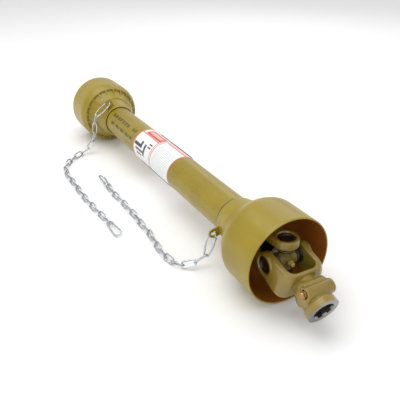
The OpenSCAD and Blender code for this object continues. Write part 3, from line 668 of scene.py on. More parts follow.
def coneMesh():
    c = cone
    reach = shaft["mouthReach"]

    def dip(x, r, near):
        # a pocket is deepest at its outer end, and its floor runs out to the rear face
        d = reach - x
        if d < c["bandAt"] + c["endWall"] + 0.1 or d > c["rearAt"] - 0.3:
            return 0
        floorR = c["bandR"] - c["depth"] - c["faceDrop"] * (d - c["bandAt"])
        crosswise = min(1, max(0, (near - c["rib"] / 2) / c["draft"]))
        return max(0, r - floorR) * crosswise

    edges = [0, 0.9, c["rib"] / 2 - 0.25, c["rib"] / 2, c["rib"] / 2 + c["draft"], 3.2]
    sector = sectorMesh("coneSector", coneRows(), sectorColumns(c["pockets"], edges, 10), dip)
    # the inner faces and the pocket walls get the darker plastics of painted shade
    mesh = grownMesh("guardCone", sector, ringTree, {
        "Sectors": c["pockets"], "Weld": 0.01, "Outside": guardPlastic,
        "Inside": insideShadePlastic, "Walls": pocketShadePlastic})
    hole = cone["hole"]
    drill = rodMesh("drill", hole["radius"], cone["shoulder"] - 6, cone["bandR"], "Z",
                    (reach - hole["at"], 0), 32)
    drill.transform(Matrix.Rotation(math.radians(hole["angle"] - 90), 4, "X"))
    return combined(tidyMesh(mesh), [drill], "DIFFERENCE", "guardCone")


coneSkin = coneMesh()
guards = ("outer_guard", "inner_guard")
putPair("GuardCone", coneSkin, level, guards, "_guard_cone", 28)
print("guard cones done:", len(coneSkin.polygons), "faces each")

collar = {
    "start": 118, "end": 158, "spigotFrom": 108, "spigot": 44, "radius": 49, "lip": 39,
    "seamDepth": 4, "seamWall": 0.7,
    "lugReach": 53.986, "lugHole": 5, "lugRim": 4, "lugThick": 3, "lugAt": 146.5,
    "nearLug": 192, "farLug": 115,
}


def collarMesh(seat, lugAngle):
    c = collar
    slope = (c["radius"] - c["lip"] - 2) / (c["end"] - 5 - c["start"])
    outside = [(c["start"] + 0.02, c["spigot"]), (c["start"] + 0.02, c["radius"] - 0.8),
               (c["start"] + 0.25, c["radius"] - 0.3)]
    outside += [(d, c["radius"] - (d - c["start"]) * slope)
                for d in (119, 124, 130, 136, 142, 148)]
    outside += [(c["end"] - 5, c["lip"] + 2), (c["end"] - 3, c["lip"] + 1.4),
                (c["end"] - 0.7, c["lip"] + 0.45), (c["end"] - 0.15, c["lip"] - 0.1),
                (c["end"], c["lip"] - 0.5), (c["end"], c["lip"] - c["seamWall"])]
    # the narrow gap that shows as a dark line between the lip and the tube
    inside = [(c["end"] - c["seamDepth"], c["lip"] - c["seamWall"] - 0.2),
              (c["end"] - c["seamDepth"], seat + 0.05), (126, seat + 0.05), (126, 32.7),
              (120.1, 32.7), (120.1, 40), (c["spigotFrom"], 40),
              (c["spigotFrom"], c["spigot"] - 0.5), (c["spigotFrom"] + 0.5, c["spigot"])]
    reach = shaft["mouthReach"]
    ring = turnedMesh("collarRing", [(reach - d, r) for d, r in outside + inside], 160)
    seamFrom, seamTo = reach - c["end"] + 0.05, reach - c["end"] + c["seamDepth"] + 0.05
    # faces in the gap take the second, darker material: painted shade in the seam
    for face in ring.polygons:
        off = math.hypot(face.center.y, face.center.z)
        if seamFrom < face.center.x < seamTo and off < c["lip"] - 0.4:
            face.material_index = 1
    # eye for the chain, a rounded tongue with a hole, its edges bevelled
    eye = turnedEye()
    eye.transform(Matrix.Rotation(math.radians(lugAngle), 4, "X"))
    return joinMeshes("guardCollar", [ring, eye])


def turnedEye():
    c = collar
    outer = c["lugHole"] + c["lugRim"]
    x = shaft["mouthReach"] - c["lugAt"]
    outline = [(c["lip"] + 1, outer)] + arcPoints((c["lugReach"], 0), outer, 90, -90, 24)
    outline += [(c["lip"] + 1, -outer)]
    hole = rodMesh("hole", c["lugHole"], -9, 9, "Z", (c["lugReach"], 0), 48)
    plate = prismMesh("eye", outline, -c["lugThick"] / 2, c["lugThick"] / 2, "Z")
    plate = combined(plate, [hole], "DIFFERENCE", "eye")
    holder = holderOf(plate)
    bevel = holder.modifiers.new("edge", "BEVEL")
    bevel.width = 0.5
    bevel.segments = 3
    bevel.limit_method = "ANGLE"
    plate = evaluatedMesh(holder, "eye")
    # lay it across the shaft: XY of the outline becomes YZ
    plate.transform(Matrix.Translation((x, 0, 0)) @ Matrix(((0, 0, 1, 0), (1, 0, 0, 0),
                                                            (0, 1, 0, 0), (0, 0, 0, 1))))
    return plate


for end, place, body, seat, lugAngle in (
        ("near", nearEnd, guards[0], 36.5, collar["nearLug"]),
        ("far", farEnd, guards[1], 33.2, 180 - collar["farLug"])):
    putPiece(end + "GuardCollar", collarMesh(seat, lugAngle), place, body,
             [guardPlastic, insideShadePlastic], standsFor=[end + "_guard_collar"],
             angle=28)
print("guard collars done")

tubes = {"outerR": 36.5, "outerWall": 2.9, "innerR": 33.2, "innerWall": 2.4}


def tubeMesh(name, low, high, radius, wall, columns=160):
    rows = [(low, radius - 0.4), (low + 0.4, radius)]
    span = high - low
    rows += [(low + span * i / 40, radius) for i in range(1, 40)]
    rows += [(high - 0.4, radius), (high, radius - 0.4), (high, radius - wall),
             (low, radius - wall)]
    return turnedMesh(name, rows, columns)


for name, node, body, radius, wall, finish in (
        ("outerGuardTube", "outer_guard_tube", "outer_guard", tubes["outerR"], tubes["outerWall"],
         printedPlastic),
        ("innerGuardTube", "inner_guard_tube", "inner_guard", tubes["innerR"], tubes["innerWall"],
         tubePlastic)):
    low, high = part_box(node)
    putPiece(name, tubeMesh(name, low.x / mm, high.x / mm, radius, wall), lineUp, body,
             [finish], standsFor=[node])
print("guard tubes done")


# label and booklet, curved sheets round the tube with their angles seen from the near end
def sheetMesh(name, low, high, start, sweep, radius, thick):
    across, along = 72, 12
    vertices, faces, marks = [], [], []
    for r in (radius, radius + thick):
        for i in range(along + 1):
            for k in range(across + 1):
                a = math.radians(start + sweep * k / across)
                vertices.append((low + (high - low) * i / along, r * math.cos(a), r * math.sin(a)))
    row = across + 1
    top = (along + 1) * row
    for i in range(along):
        for k in range(across):
            a = i * row + k
            faces += [(a, a + 1, a + row + 1, a + row),
                      (top + a, top + a + row, top + a + row + 1, top + a + 1)]
            # the underside and the rim take slot 1 and the top takes slot 0; on the booklet, slot 1
            # is a dark paper of painted shade
            marks += [1, 0]
    rim = [k for k in range(across)] + [i * row + across for i in range(along)]
    rim += [along * row + k for k in range(across, 0, -1)] + [i * row for i in range(along, 0, -1)]
    for i, a in enumerate(rim):
        b = rim[(i + 1) % len(rim)]
        faces.append((a, b, top + b, top + a))
        marks.append(1)
    mesh = asMesh(name, vertices, faces)
    mesh.polygons.foreach_set("material_index", marks)
    mesh = tidyMesh(mesh, weld=0.0001)
    # flat map of the sheet: millimetres along, degrees round
    layer = mesh.uv_layers.new(name="sheet")
    for loop in mesh.loops:
        x, y, z = mesh.vertices[loop.vertex_index].co
        a = (math.degrees(math.atan2(z, y)) - start + 1 + 720) % 360 + start - 1
        layer.data[loop.index].uv = (x / 100, a / 100)
    return mesh


# fields of plain colour stand for the print: each has its ends in mm and its angles
label = {
    "low": -105.4, "high": 77.4, "start": 50, "sweep": 178, "radius": 36.56, "thick": 0.27,
    "boxes": {
        "rose": [(-8, 74, 51, 76)],
        "red": [(-105, -102, 50, 228), (-19, -16.6, 50, 228), (-13, -10.6, 50, 228),
                (74.6, 77.4, 50, 228), (-102, -17, 102.5, 106), (-90, -20, 66, 101),
                (-10, 76, 75.5, 79.5)],
        "pale": [(-84, -28, 76, 92)],
        "smoke": [(-100, -68, 148, 160), (-92, -50, 166, 174), (-84, -58, 180, 187),
                  (-70, -62, 134, 160), (-52, -44, 138, 182), (-38, -24, 126, 131),
                  (-38, -24, 138, 143)],
    },
    "tones": {"rose": (240, 176, 170), "red": (206, 56, 40), "pale": (238, 170, 160),
              "smoke": (48, 54, 56)},
}


def labelFilm():
    material, tree, shader, place = newMaterial("labelFilm", Roughness=0.3, Coat_Weight=0.3,
                                                Coat_Roughness=0.12)
    flat = addNode(tree, "ShaderNodeUVMap", uv_map="sheet")
    parts = addNode(tree, "ShaderNodeSeparateXYZ", {0: flat.outputs[0]})
    x = mathOf(tree, "MULTIPLY", parts.outputs["X"], 100)
    a = mathOf(tree, "MULTIPLY", parts.outputs["Y"], 100)
    colour = mixOf(tree, noiseOf(tree, place, 60, 3), paint(222, 224, 222), paint(240, 241, 240))
    rules = mathOf(tree, "LESS_THAN", mathOf(tree, "FRACT", mathOf(tree, "DIVIDE", a, 6.4)), 0.2)
    rules = mathOf(tree, "MULTIPLY", rules, mathOf(tree, "MULTIPLY", within(tree, x, -4, 66),
                                                   within(tree, a, 104, 222)))
    colour = mixOf(tree, mathOf(tree, "MULTIPLY", rules, 0.55), colour, paint(132, 134, 150))
    for tone, fields in label["boxes"].items():
        for low, high, start, end in fields:
            field = mathOf(tree, "MULTIPLY", within(tree, x, low, high),
                           within(tree, a, start, end))
            colour = mixOf(tree, field, colour, paint(*label["tones"][tone]))
    fill(tree, shader, colour, normal=bumpOf(tree, noiseOf(tree, place, 40, 2), 0.2, 0.0008))
    return material


def plainPaper(name, low, high):
    material, tree, shader, place = newMaterial(name, Roughness=0.55)
    fill(tree, shader, mixOf(tree, noiseOf(tree, place, 120, 4), low, high),
         normal=bumpOf(tree, noiseOf(tree, place, 50, 2), 0.3, 0.0006))
    return material


pagePaper = plainPaper("pagePaper", paint(226, 208, 204), paint(240, 232, 228))
# dark paper for the undersides and edges of the leaves: painted shade
pageShade = plainPaper("pageShade", paint(34, 42, 44), paint(58, 66, 68))
filmSheet = labelFilm()
labelMesh = sheetMesh("guardLabel", label["low"], label["high"], label["start"], label["sweep"],
                      label["radius"], label["thick"])
putPiece("guardLabel", labelMesh, lineUp, "outer_guard", [filmSheet, filmSheet],
         standsFor=["guard_label"])
booklet = {"low": -88, "high": 60, "start": 230.3, "sweep": 175.4, "radius": 36.57, "pages": 3,
           "leaf": 0.5, "gap": 0.18, "slip": 2.4}
leaves = []
for i in range(booklet["pages"]):
    slip = booklet["slip"] * (i % 2)
    leaves.append(sheetMesh("leaf", booklet["low"] + slip + 0.2, booklet["high"] - slip * 0.5 - 0.2,
                            booklet["start"] + slip * 0.6, booklet["sweep"] - slip,
                            booklet["radius"] + i * (booklet["leaf"] + booklet["gap"]),
                            booklet["leaf"]))
putPiece("instructionBooklet", joinMeshes("booklet", leaves), lineUp, "outer_guard",
         [pagePaper, pageShade], standsFor=["instruction_booklet"])
print("label and booklet done")

fork = {"earR": 21, "earIn": 27, "earOut": 41, "bridgeIn": 44.5, "bridge": 10.5, "half": 24,
        "innerRound": 12, "outerRound": 18, "bowl": 10, "belly": 0.3, "discR": 19.8, "voxel": 0.85,
        "soften": 6}
hub = {"radius": 23.5, "end": 105, "ring": 26.5, "ringLen": 11, "bore": 14.9, "root": 17.45,
       "groove": 8.7, "pinAt": 79, "pinRise": 21.1, "pinR": 6.05, "boss": 11.4,
       "bossRise": 18.9, "front": 24.6, "back": 25.6, "recess": 8.4, "recessDepth": 4,
       "stem": 3.7, "cheekR": 12.5, "heelR": 12}
cup = {"radius": 13.5, "span": 74.6, "ring": 14.5, "ringThick": 1.5, "ringGap": 0.1}


def loftMesh(name, outlines, heights):
    # stacked outlines with equal numbers of points, closed at both ends
    count = len(outlines[0])
    vertices = [(x, y, z) for outline, z in zip(outlines, heights) for x, y in outline]
    last = (len(heights) - 1) * count
    faces = [tuple(range(count - 1, -1, -1)), tuple(range(last, last + count))]
    faces += bandFaces(len(heights), count, closed=False)
    return tidyMesh(asMesh(name, vertices, faces))


def forkPlan(shrink):
    # the fork seen along its cup axis' normal, its outer side drawn in by the given amount
    f = fork
    outX = f["bridgeIn"] + f["bridge"] - 0.7 * shrink
    out, turn = f["earOut"] - shrink, f["outerRound"]
    plan = [(-f["earR"] - 1, out)]
    plan += arcPoints((outX - turn, out - turn), turn, 90, 15, 12)
    plan += arcPoints((outX - turn, turn - out), turn, -15, -90, 12)
    plan += [(-f["earR"] - 1, -out), (-f["earR"] - 1, -f["earIn"])]
    plan += arcPoints((f["bridgeIn"] - f["innerRound"], f["innerRound"] - f["earIn"]),
                      f["innerRound"], -90, 0, 12)
    plan += arcPoints((f["bridgeIn"] - f["innerRound"], f["earIn"] - f["innerRound"]),
                      f["innerRound"], 0, 90, 12)
    return plan + [(-f["earR"] - 1, f["earIn"])]


def forkMesh():
    # a bowl-like fork: thick in the middle of its height, with a narrow rim at each side
    f = fork
    outX = f["bridgeIn"] + f["bridge"]
    heights = [(f["half"] + 0.6) * math.sin(math.radians(t)) for t in range(-90, 91, 12)]
    shrinks = [f["bowl"] * (1 if z > 0 else f["belly"])
               * (1 - math.sqrt(max(0, 1 - (z / (f["half"] * 1.06)) ** 2))) for z in heights]
    bowl = loftMesh("bowl", [forkPlan(t) for t in shrinks], heights)
    side = arcPoints((0, 0), f["earR"], 90, 270, 32)
    side += [(f["bridgeIn"] - 8, -f["half"]), (outX + 1, -f["half"]), (outX + 1, f["half"]),
             (f["bridgeIn"] - 8, f["half"])]
    upright = prismMesh("side", side, -f["earOut"] - 1, f["earOut"] + 1, "Y")
    shell = combined(bowl, [upright], "INTERSECT", "fork")
    discs = [rodMesh("disc", f["discR"], -f["earOut"], -f["earIn"] - 3, "Y"),
             rodMesh("disc", f["discR"], f["earIn"] + 3, f["earOut"], "Y")]
    return joinMeshes("fork", [shell] + discs)


def yokeCast(name, parts):
    mesh = castMesh(name, parts, fork["voxel"], fork["soften"])
    for finish in (yokePaint, turnedSteel, boreSteel):
        mesh.materials.append(finish)
    return mesh


def slotted(mesh, slot):
    # marks every face of a cutter with a material slot
    mesh.polygons.foreach_set("material_index", [slot] * len(mesh.polygons))
    return mesh


def cupCutters(axis):
    c = cup
    cutters = [slotted(rodMesh("cupBore", c["radius"] + 0.02, -fork["earOut"] - 2,
                               fork["earOut"] + 2, axis), 1)]
    for s in (-1, 1):
        at = s * (c["span"] / 2 + c["ringGap"] + c["ringThick"] / 2)
        face = s * fork["earOut"]
        dish = turnedMesh("dish", [(face - s * 2.4, 0), (face - s * 2.4, c["ring"] + 0.1),
                                   (face + s * 1, c["ring"] + 2.6), (face + s * 1, 0)], 96)
        if axis == "Y":
            dish.transform(Matrix.Rotation(math.pi / 2, 4, "Z"))
        else:
            dish.transform(Matrix.Rotation(-math.pi / 2, 4, "Y"))
        cutters.append(dish)
        cutters.append(slotted(rodMesh("ringGroove", c["ring"] + 0.02, at - c["ringThick"] / 2,
                                       at + c["ringThick"] / 2, axis), 1))
    return cutters


def splineOutline(bore, root, width):
    out = []
    for k in range(6):
        centre = 60 * k + 30
        atBore = math.degrees(math.asin(width / 2 / bore))
        atRoot = math.degrees(math.asin(width / 2 / root))
        out += arcPoints((0, 0), root, centre - atRoot, centre + atRoot, 8)
        out += arcPoints((0, 0), bore, centre + atBore, centre + 60 - atBore, 8)
    return out


def endYokeMesh():
    f, h = fork, hub
    outX = f["bridgeIn"] + f["bridge"]
    # neck and hub, with the ring at their end
    neck = turnedMesh("neck", [(outX - 11, 0), (outX - 11, 15), (outX - 4, 19), (outX + 4, 21.5),
                               (outX + 11, h["radius"]), (h["end"] - h["ringLen"] - 5, h["radius"]),
                               (h["end"] - h["ringLen"], h["ring"] + 0.2),
                               (h["end"] + 3, h["ring"] + 0.2), (h["end"] + 3, 0)])
    boss = rodMesh("boss", h["boss"] + 0.2, -h["front"] - 0.4, h["back"] + 0.4, "Y",
                   (h["pinAt"], h["bossRise"]))
    # the boss runs down into the side of the hub under the pin's head
    cheek = rodMesh("cheek", h["cheekR"], -h["front"] - 0.2, -4, "Y", (h["pinAt"] - 1, 8))
    saddle = rodMesh("saddle", h["cheekR"], -20, 21, "Y", (h["pinAt"] - 9, 14.5))
    heel = ballMesh("heel", h["heelR"], (h["pinAt"] - 4, -12.5, -7), (1.1, 1.05, 0.9))
    body = yokeCast("endYoke", [forkMesh(), neck, boss, cheek, saddle, heel])
    cutters = cupCutters("Y")
    cutters.append(slotted(prismMesh("faceCut", [(-40, -40), (40, -40), (40, 40), (-40, 40)],
                                     h["end"], h["end"] + 12, "X"), 1))
    cutters.append(slotted(prismMesh("splineCut",
                                     splineOutline(h["bore"], h["root"], h["groove"]),
                                     f["bridgeIn"] - 2, h["end"] + 2, "X"), 2))
    leadIn = turnedMesh("leadIn", [(h["end"] - 2.2, 0), (h["end"] - 2.2, h["root"] - 1.9),
                                   (h["end"] + 0.5, h["root"] + 0.8), (h["end"] + 0.5, 0)])
    cutters.append(slotted(leadIn, 1))
    recess = ringPoints(h["recess"], 6, 12)
    recess = softCorners([(h["pinAt"] + x, h["pinRise"] - 0.6 + z) for x, z in recess], 1.6)
    cutters.append(slotted(prismMesh("recess", recess, -h["front"] - 6,
                                     -h["front"] + h["recessDepth"], "Y"), 0))
    cutters.append(slotted(rodMesh("pinHole", h["pinR"] + 0.1, -h["front"] - 4, h["back"] - 3,
                                   "Y", (h["pinAt"], h["pinRise"])), 1))
    cutters.append(slotted(rodMesh("stemHole", h["stem"], h["back"] - 9, h["back"] + 9,
                                   "Y", (h["pinAt"], h["pinRise"])), 1))
    return combined(body, cutters, "DIFFERENCE", "endYoke")


endYoke = endYokeMesh()
print("end yoke:", len(endYoke.polygons), "faces")
putPair("EndYoke", endYoke, drooped, ("near_fork", "far_fork"), "_end_yoke", 40)


# the tube yoke, measured backwards from the joint's centre
sleeve = {"radius": 32, "neckFrom": 4, "neckR": 30, "castEnd": 97, "seat": 28.6, "seatFrom": 72,
          "bore": 16, "pinR": 5.02, "pinAt": 87, "turnedFrom": 95.4, "grooveFrom": 95.9,
          "grooveTo": 108.1, "grooveR": 29.5, "end": 112.1}


def tubeYokeMesh():
    f, t = fork, sleeve
    ears = forkMesh()
    ears.transform(Matrix.Rotation(math.pi, 4, "Z") @ Matrix.Rotation(math.pi / 2, 4, "X"))
    start = -f["bridgeIn"] - t["neckFrom"]
    neck = turnedMesh("tubeHub", [(start, 0), (start, t["neckR"]), (start - 4, t["radius"]),
                                  (-t["castEnd"], t["radius"]), (-t["castEnd"], 0)])
    body = yokeCast("tubeYoke", [ears, neck])
    cutters = cupCutters("Z")
    cutters.append(slotted(rodMesh("tubeSeat", t["seat"], -120, -t["seatFrom"], "X"), 2))
    cutters.append(slotted(rodMesh("throughBore", t["bore"], -74, -38, "X"), 2))
    cutters.append(slotted(rodMesh("pinBore", t["pinR"], -40, 40, "Y", (-t["pinAt"], 0)), 1))
    body = combined(body, cutters, "DIFFERENCE", "tubeYoke")
    # turned end with the bearing groove
    groove = turnedMesh("bearingSeat", [
        (-t["turnedFrom"], t["seat"]), (-t["turnedFrom"], t["radius"]),
        (-t["grooveFrom"], t["radius"]), (-t["grooveFrom"], t["grooveR"]),
        (-t["grooveTo"], t["grooveR"]), (-t["grooveTo"], t["radius"]), (-t["end"], t["radius"]),
        (-t["end"], t["seat"])])
    groove.materials.append(yokePaint)
    return joinMeshes("tubeYoke", [body, groove])


tubeYoke = tubeYokeMesh()
print("tube yoke:", len(tubeYoke.polygons), "faces")
putPair("TubeYoke", tubeYoke, level, ("outer_drive", "inner_drive"), "_tube_yoke", 40)
print("yokes done")

chain = {"linkLen": 30, "linkWidth": 14, "wire": 3.2, "gap": 0.5, "lean": 45, "hookWire": 3.6,
         "hookR": 8, "hookGap": 1.3, "startLean": 35}
clips = {"start": {"span": 44, "wide": 4.6, "narrow": 5.4, "bulge": 2.4},
         "end": {"span": 50, "wide": 7.6, "narrow": 4.6, "bulge": 0}}
linkSpread = ((chain["linkWidth"] - chain["wire"]) / 2 * math.sin(math.radians(chain["lean"]))
              + chain["wire"] / 2)
linkZ = linkSpread + 0.1
endLean = math.degrees(math.asin((linkZ - 0.2 - chain["hookWire"] / 2) / chain["hookR"]))
lugX = jointX / mm + shaft["mouthReach"] - collar["lugAt"]
routes = {
    "near": {"lug": (lugX, collar["nearLug"]), "points": [
        (0, -65.5, 25), (-3, -84, 14.5), (-11, -102, 8.2), (-27, -114, linkZ),
        (-49, -120, linkZ), (-75, -121, linkZ), (-112, -117, linkZ), (-157, -112, linkZ),
        (-190, -114, linkZ), (-222, -111, linkZ), (-255, -113, linkZ), (-293, -112, linkZ),
        (-334, -116, linkZ), (-385, -113, linkZ)]},
    "far": {"lug": (-lugX, collar["farLug"]), "points": [
        (0, -59, 99), (0, -65, 77), (0, -67, 54), (0, -73, 32), (1, -87, 15.5), (4, -106, 8.5),
        (13, -126, linkZ), (27, -142, linkZ), (44, -157, linkZ), (65, -169, linkZ),
        (88, -176, linkZ), (120, -179, linkZ), (165, -178, linkZ), (210, -179, linkZ),
        (260, -178, linkZ), (305, -175, linkZ), (345, -171, linkZ), (390, -169, linkZ)]},
}


def laidRoute(route):
    lx, angle = route["lug"]
    a = math.radians(angle)
    lug = Vector((lx, collar["lugReach"] * math.cos(a),
                  axisZ / mm + collar["lugReach"] * math.sin(a)))
    path = [lug] + [Vector((lx + x, y, z)) for x, y, z in route["points"]]
    return [p + Vector((0, axisY / mm, 0)) for p in path]


def nextOn(path, start, centre, reach):
    # the next point of the route that lies at the given reach from the centre
    for i in range(start, len(path) - 1):
        if (path[i + 1] - centre).length < reach:
            continue
        v, w = path[i + 1] - path[i], path[i] - centre
        a, b, c = v.dot(v), 2 * v.dot(w), w.dot(w) - reach ** 2
        return i, path[i] + v * (-b + math.sqrt(b * b - 4 * a * c)) / (2 * a)
    return None


def linkNodes(path):
    pitch = chain["linkLen"] - 2 * chain["wire"] - chain["gap"]
    found = nextOn(path, 0, path[0], clips["start"]["span"])
    places = []
    while found:
        places.append(found[1])
        found = nextOn(path, found[0], found[1], pitch)
    return places


def linkMesh():
    bend = (chain["linkWidth"] - chain["wire"]) / 2
    half = chain["linkLen"] / 2 - chain["wire"] / 2 - bend
    path = arcPoints((half, 0), bend, -90, 90, 12) + arcPoints((-half, 0), bend, 90, 270, 12)
    mid = (chain["linkLen"] - 2 * chain["wire"] - chain["gap"]) / 2
    # a weld seam, a little thicker, sits in the middle of one straight side
    seam = [(half * 0.25, bend), (0.5, bend), (-0.5, bend), (-half * 0.25, bend)]
    path = path[:13] + seam + path[13:]
    thick = lambda t: 1.12 if 14.2 <= t * 30 <= 15.8 else 1
    return wireMesh("chainLink", [(x + mid, y, 0) for x, y in path], chain["wire"] / 2, 10,
                    swell=thick)


chainTree, given, out = newTree("linksAlongRoute", [
    ("Link", "Object"), ("Lean", "Float"), ("Finish", "Material")])
index = addNode(chainTree, "GeometryNodeInputIndex").outputs[0]
here = addNode(chainTree, "GeometryNodeInputPosition").outputs[0]
count = addNode(chainTree, "GeometryNodeAttributeDomainSize", {
    "Geometry": given.outputs["Geometry"]}).outputs["Point Count"]
following = addNode(chainTree, "GeometryNodeSampleIndex", {
    "Geometry": given.outputs["Geometry"], "Value": here,
    "Index": mathOf(chainTree, "ADD", index, 1)}, data_type="FLOAT_VECTOR").outputs[0]
heading = addNode(chainTree, "ShaderNodeVectorMath", {0: following, 1: here},
                  operation="SUBTRACT").outputs[0]
facing = addNode(chainTree, "FunctionNodeAxesToRotation", {
    "Primary Axis": heading, "Secondary Axis": (0, 0, 1)}, primary_axis="X", secondary_axis="Z")
side = mathOf(chainTree, "SUBTRACT", 1, mathOf(chainTree, "MULTIPLY", 2,
              mathOf(chainTree, "MODULO", index, 2)))
lean = mathOf(chainTree, "MULTIPLY", side, given.outputs["Lean"])
roll = addNode(chainTree, "FunctionNodeAxisAngleToRotation", {"Axis": (1, 0, 0), "Angle": lean})
turned = addNode(chainTree, "FunctionNodeRotateRotation", {
    "Rotation": facing.outputs[0], "Rotate By": roll.outputs[0]}, rotation_space="LOCAL")
notLast = addNode(chainTree, "FunctionNodeCompare", {
    "A": index, "B": mathOf(chainTree, "SUBTRACT", count, 1)}, operation="LESS_THAN",
    data_type="FLOAT")
linkInfo = addNode(chainTree, "GeometryNodeObjectInfo", {"Object": given.outputs["Link"]})
links = addNode(chainTree, "GeometryNodeInstanceOnPoints", {
    "Points": given.outputs["Geometry"], "Selection": notLast.outputs[0],
    "Instance": linkInfo.outputs["Geometry"], "Rotation": turned.outputs[0]})
made = addNode(chainTree, "GeometryNodeRealizeInstances", {"Geometry": links.outputs[0]})
coated = addNode(chainTree, "GeometryNodeSetMaterial", {
    "Geometry": made.outputs[0], "Material": given.outputs["Finish"]})
chainTree.links.new(coated.outputs[0], out.inputs["Geometry"])


def clipMesh(span, wide, narrow, bulge):
    # closed wire clip along X with its two ends at the nodes, one bend wide and one narrow,
    # and a crimped sleeve beside the narrow one
    c = chain
    reach = c["hookWire"] / 2 + c["hookGap"] / 2
    first, second = (-reach + narrow, 0), (span + reach - wide, 0)
    path = arcPoints(first, narrow, 110, 250, 10)
    side = []
    for i in range(1, 12):
        t = i / 12
        x = first[0] + (second[0] - first[0]) * t
        y = narrow + (wide - narrow) * t + bulge * math.sin(math.pi * t)
        side.append((x, y))
    path += [(x, -y) for x, y in side] + arcPoints(second, wide, -80, 80, 14)
    path += [(x, y) for x, y in reversed(side)]
    wire = wireMesh("clip", [(x, y, 0) for x, y in path], c["hookWire"] / 2 - 0.1, 14)
    crimp = turnedMesh("crimp", softCorners([(first[0] + 3.4, 0), (first[0] + 3.4, 2.9),
                                             (first[0] + 10, 2.9), (first[0] + 10, 0)], 0.5), 32)
    crimp.transform(Matrix.Translation((0, side[1][1], 0)))
    return joinMeshes("clip", [wire, crimp])


def spanning(start, end, lean):
    v = end - start
    return (Matrix.Translation(start * mm) @ Matrix.Rotation(math.atan2(v.y, v.x), 4, "Z")
            @ Matrix.Rotation(-math.asin(v.z / v.length), 4, "Y")
            @ Matrix.Rotation(math.radians(lean), 4, "X"))


linkShape = holderOf(linkMesh())
linkShape.hide_render = True
for end in ("near", "far"):
    path = laidRoute(routes[end])
    places = linkNodes(path)
    line = asMesh(end + "Nodes", places, [])
    mesh = grownMesh(end + "Chain", line, chainTree, {
        "Link": linkShape, "Lean": math.radians(chain["lean"]), "Finish": brightZinc})
    print(end, "chain has", len(places) - 1, "links")
    putPiece(end + "Chain", mesh, level, end + "_restraint",
             standsFor=[end + "_chain"])
    putPiece(end + "StartClip", clipMesh(**clips["start"]),
             spanning(path[0], places[0], -chain["startLean"]), end + "_restraint", [brightZinc],
             standsFor=[end + "_start_hook"])
    last, goal = places[-1], path[-1]
    flat = Vector((goal.x - last.x, goal.y - last.y, 0)).normalized()
    lean = -endLean if len(places) % 2 == 0 else endLean
    putPiece(end + "EndClip", clipMesh(**clips["end"]),
             spanning(last, last + flat * clips["end"]["span"], lean), end + "_restraint",
             [brightZinc], standsFor=[end + "_end_hook"])
bpy.data.objects.remove(linkShape)
print("chains done")


cross = {"armR": 10.6, "armReach": 16, "shoulderR": 11.9, "shoulder": (15.6, 19.4),
         "trunnionR": 8.4, "trunnion": (19, 34.2), "middleR": 14.2, "seatR": 6, "seatReach": 15,
         "voxel": 0.7, "soften": 4}


def crossMesh():
    # a forged cross: four necked arms that melt into a round middle
    c = cross
    near, far = c["shoulder"]
    arms = []
    for axis in ("Y", "Z"):
        arms.append(rodMesh("arm", c["armR"], -c["armReach"], c["armReach"], axis))
        arms.append(rodMesh("shoulder", c["shoulderR"], -far, -near, axis))
        arms.append(rodMesh("shoulder", c["shoulderR"], near, far, axis))
    arms += [ballMesh("middle", c["middleR"], (0, 0, 0), (0.84, 1, 1)),
             rodMesh("seat", c["seatR"], 0, c["seatReach"], "X")]
    body = castMesh("cross", arms, c["voxel"], c["soften"])
    near, far = c["trunnion"]
    pins = [rodMesh("trunnion", c["trunnionR"], low, high, axis)
            for low, high in ((near, far), (-far, -near)) for axis in ("Y", "Z")]
    body.materials.append(crossPaint)
    body.materials.append(bearingSteel)
    return joinMeshes("cross", [body] + [slotted(pin, 1) for pin in pins])


# the two rings of a seal, as (distance from the joint's centre, radius)
seal = {
    "lip": [(19.6, 8.6), (19.6, 12.1), (20, 12.45), (20.7, 12.45), (21.1, 11.6), (21.5, 11.6),
            (21.9, 12.45), (22.5, 12.45), (22.7, 12.1), (22.7, 8.6)],
    "band": [(15.9, 10.4), (15.9, 12.1), (16.4, 12.4), (17.4, 12.4), (17.9, 12.1), (17.9, 10.4)],
}


def sealMesh():
    rings = []
    for quarter in range(4):
        for name, outline in seal.items():
            ring = turnedMesh(name, outline, 96)
            ring.transform(Matrix.Rotation(math.pi / 2 * quarter, 4, "X")
                           @ Matrix.Rotation(math.pi / 2, 4, "Z"))
            rings.append(ring)
    return joinMeshes("seals", rings)


nipple = {
    "hexR": 4.95, "hex": (15, 17.4),
    "stem": [(17.2, 0), (17.2, 4.1), (17.9, 4.1), (18.3, 2.8), (18.8, 2.8), (19.3, 3.4), (20, 3.9),
             (21.4, 4), (22.4, 3.5), (23.1, 2.4), (23.4, 1.2), (22.9, 0.9), (22.9, 0)],
}


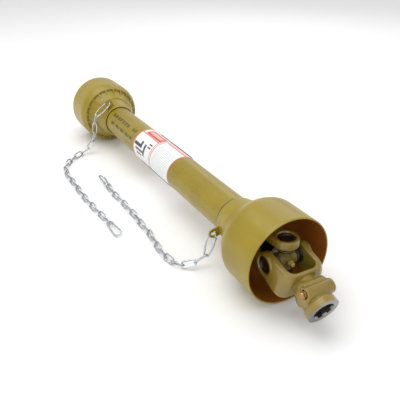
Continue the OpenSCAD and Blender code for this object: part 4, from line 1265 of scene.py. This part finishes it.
def nippleMesh():
    hexagon = prismMesh("hexagon", softCorners(ringPoints(nipple["hexR"], 6), 0.5),
                        *nipple["hex"], "X")
    return joinMeshes("nipple", [hexagon, turnedMesh("stem", nipple["stem"], 48)])


pushPin = {
    "head": [(-32.4, 0), (-32.4, 3.2), (-31.9, 4.6), (-31, 5.2), (-29.6, 5.3), (-29.2, 4.2),
             (-28.2, 4.2), (-27.8, 5.6), (-25.2, 5.9), (-24.6, 5.9), (-24.3, 4.6), (-23.2, 4.6),
             (-22.9, 5.95)],
    "shank": [(-20.6, 5.95), (-18.6, 3.9), (-2.4, 3.9), (-1.4, 5.95), (4.9, 5.95), (4.9, 3.4),
              (25.4, 3.4), (25.4, 0)],
}


def pinMesh():
    pin = turnedMesh("pushPin", pushPin["head"] + pushPin["shank"], 64)
    pin.transform(Matrix.Translation((hub["pinAt"], 0, hub["pinRise"]))
                  @ Matrix.Rotation(math.pi / 2, 4, "Z"))
    return pin


for end, place in ends.items():
    for name, mesh, turn, body, node, finishes, slot in (
            ("Cross", crossMesh(), level, "_joint", "_cross", [], "yoke_paint"),
            ("CrossSeals", sealMesh(), level, "_joint", "_cross_seals", [blackRubber],
             "seal_rubber"),
            ("GreaseNipple", nippleMesh(), level, "_joint", "_grease_nipple", [nipplePaint],
             "yoke_paint"),
            ("PushPin", pinMesh(), drooped, "_pin", "_push_pin", [goldZinc], "gold_zinc")):
        putPiece(end + name, mesh, place @ turn, end + body, finishes, standsFor=[end + node])
print("crosses and push pins done")


# the frame's own pieces that stay visible get their finishes
def dress(node, finish):
    mesh = cadNodes[node].data
    mesh.materials.clear()
    mesh.materials.append(finish)


for end in ("near", "far"):
    for node, finish in (
            ("guard_bearing", bearingNylon), ("roll_pin", springSteel),
            ("tube_yoke_cups", bearingSteel), ("tube_yoke_snap_rings", springSteel),
            ("end_yoke_cups", bearingSteel), ("end_yoke_snap_rings", springSteel),
            ("pin_spring", springSteel)):
        dress(end + "_" + node, finish)
dress("outer_profile_tube", tubeSteel)
dress("inner_profile_tube", tubeSteel)
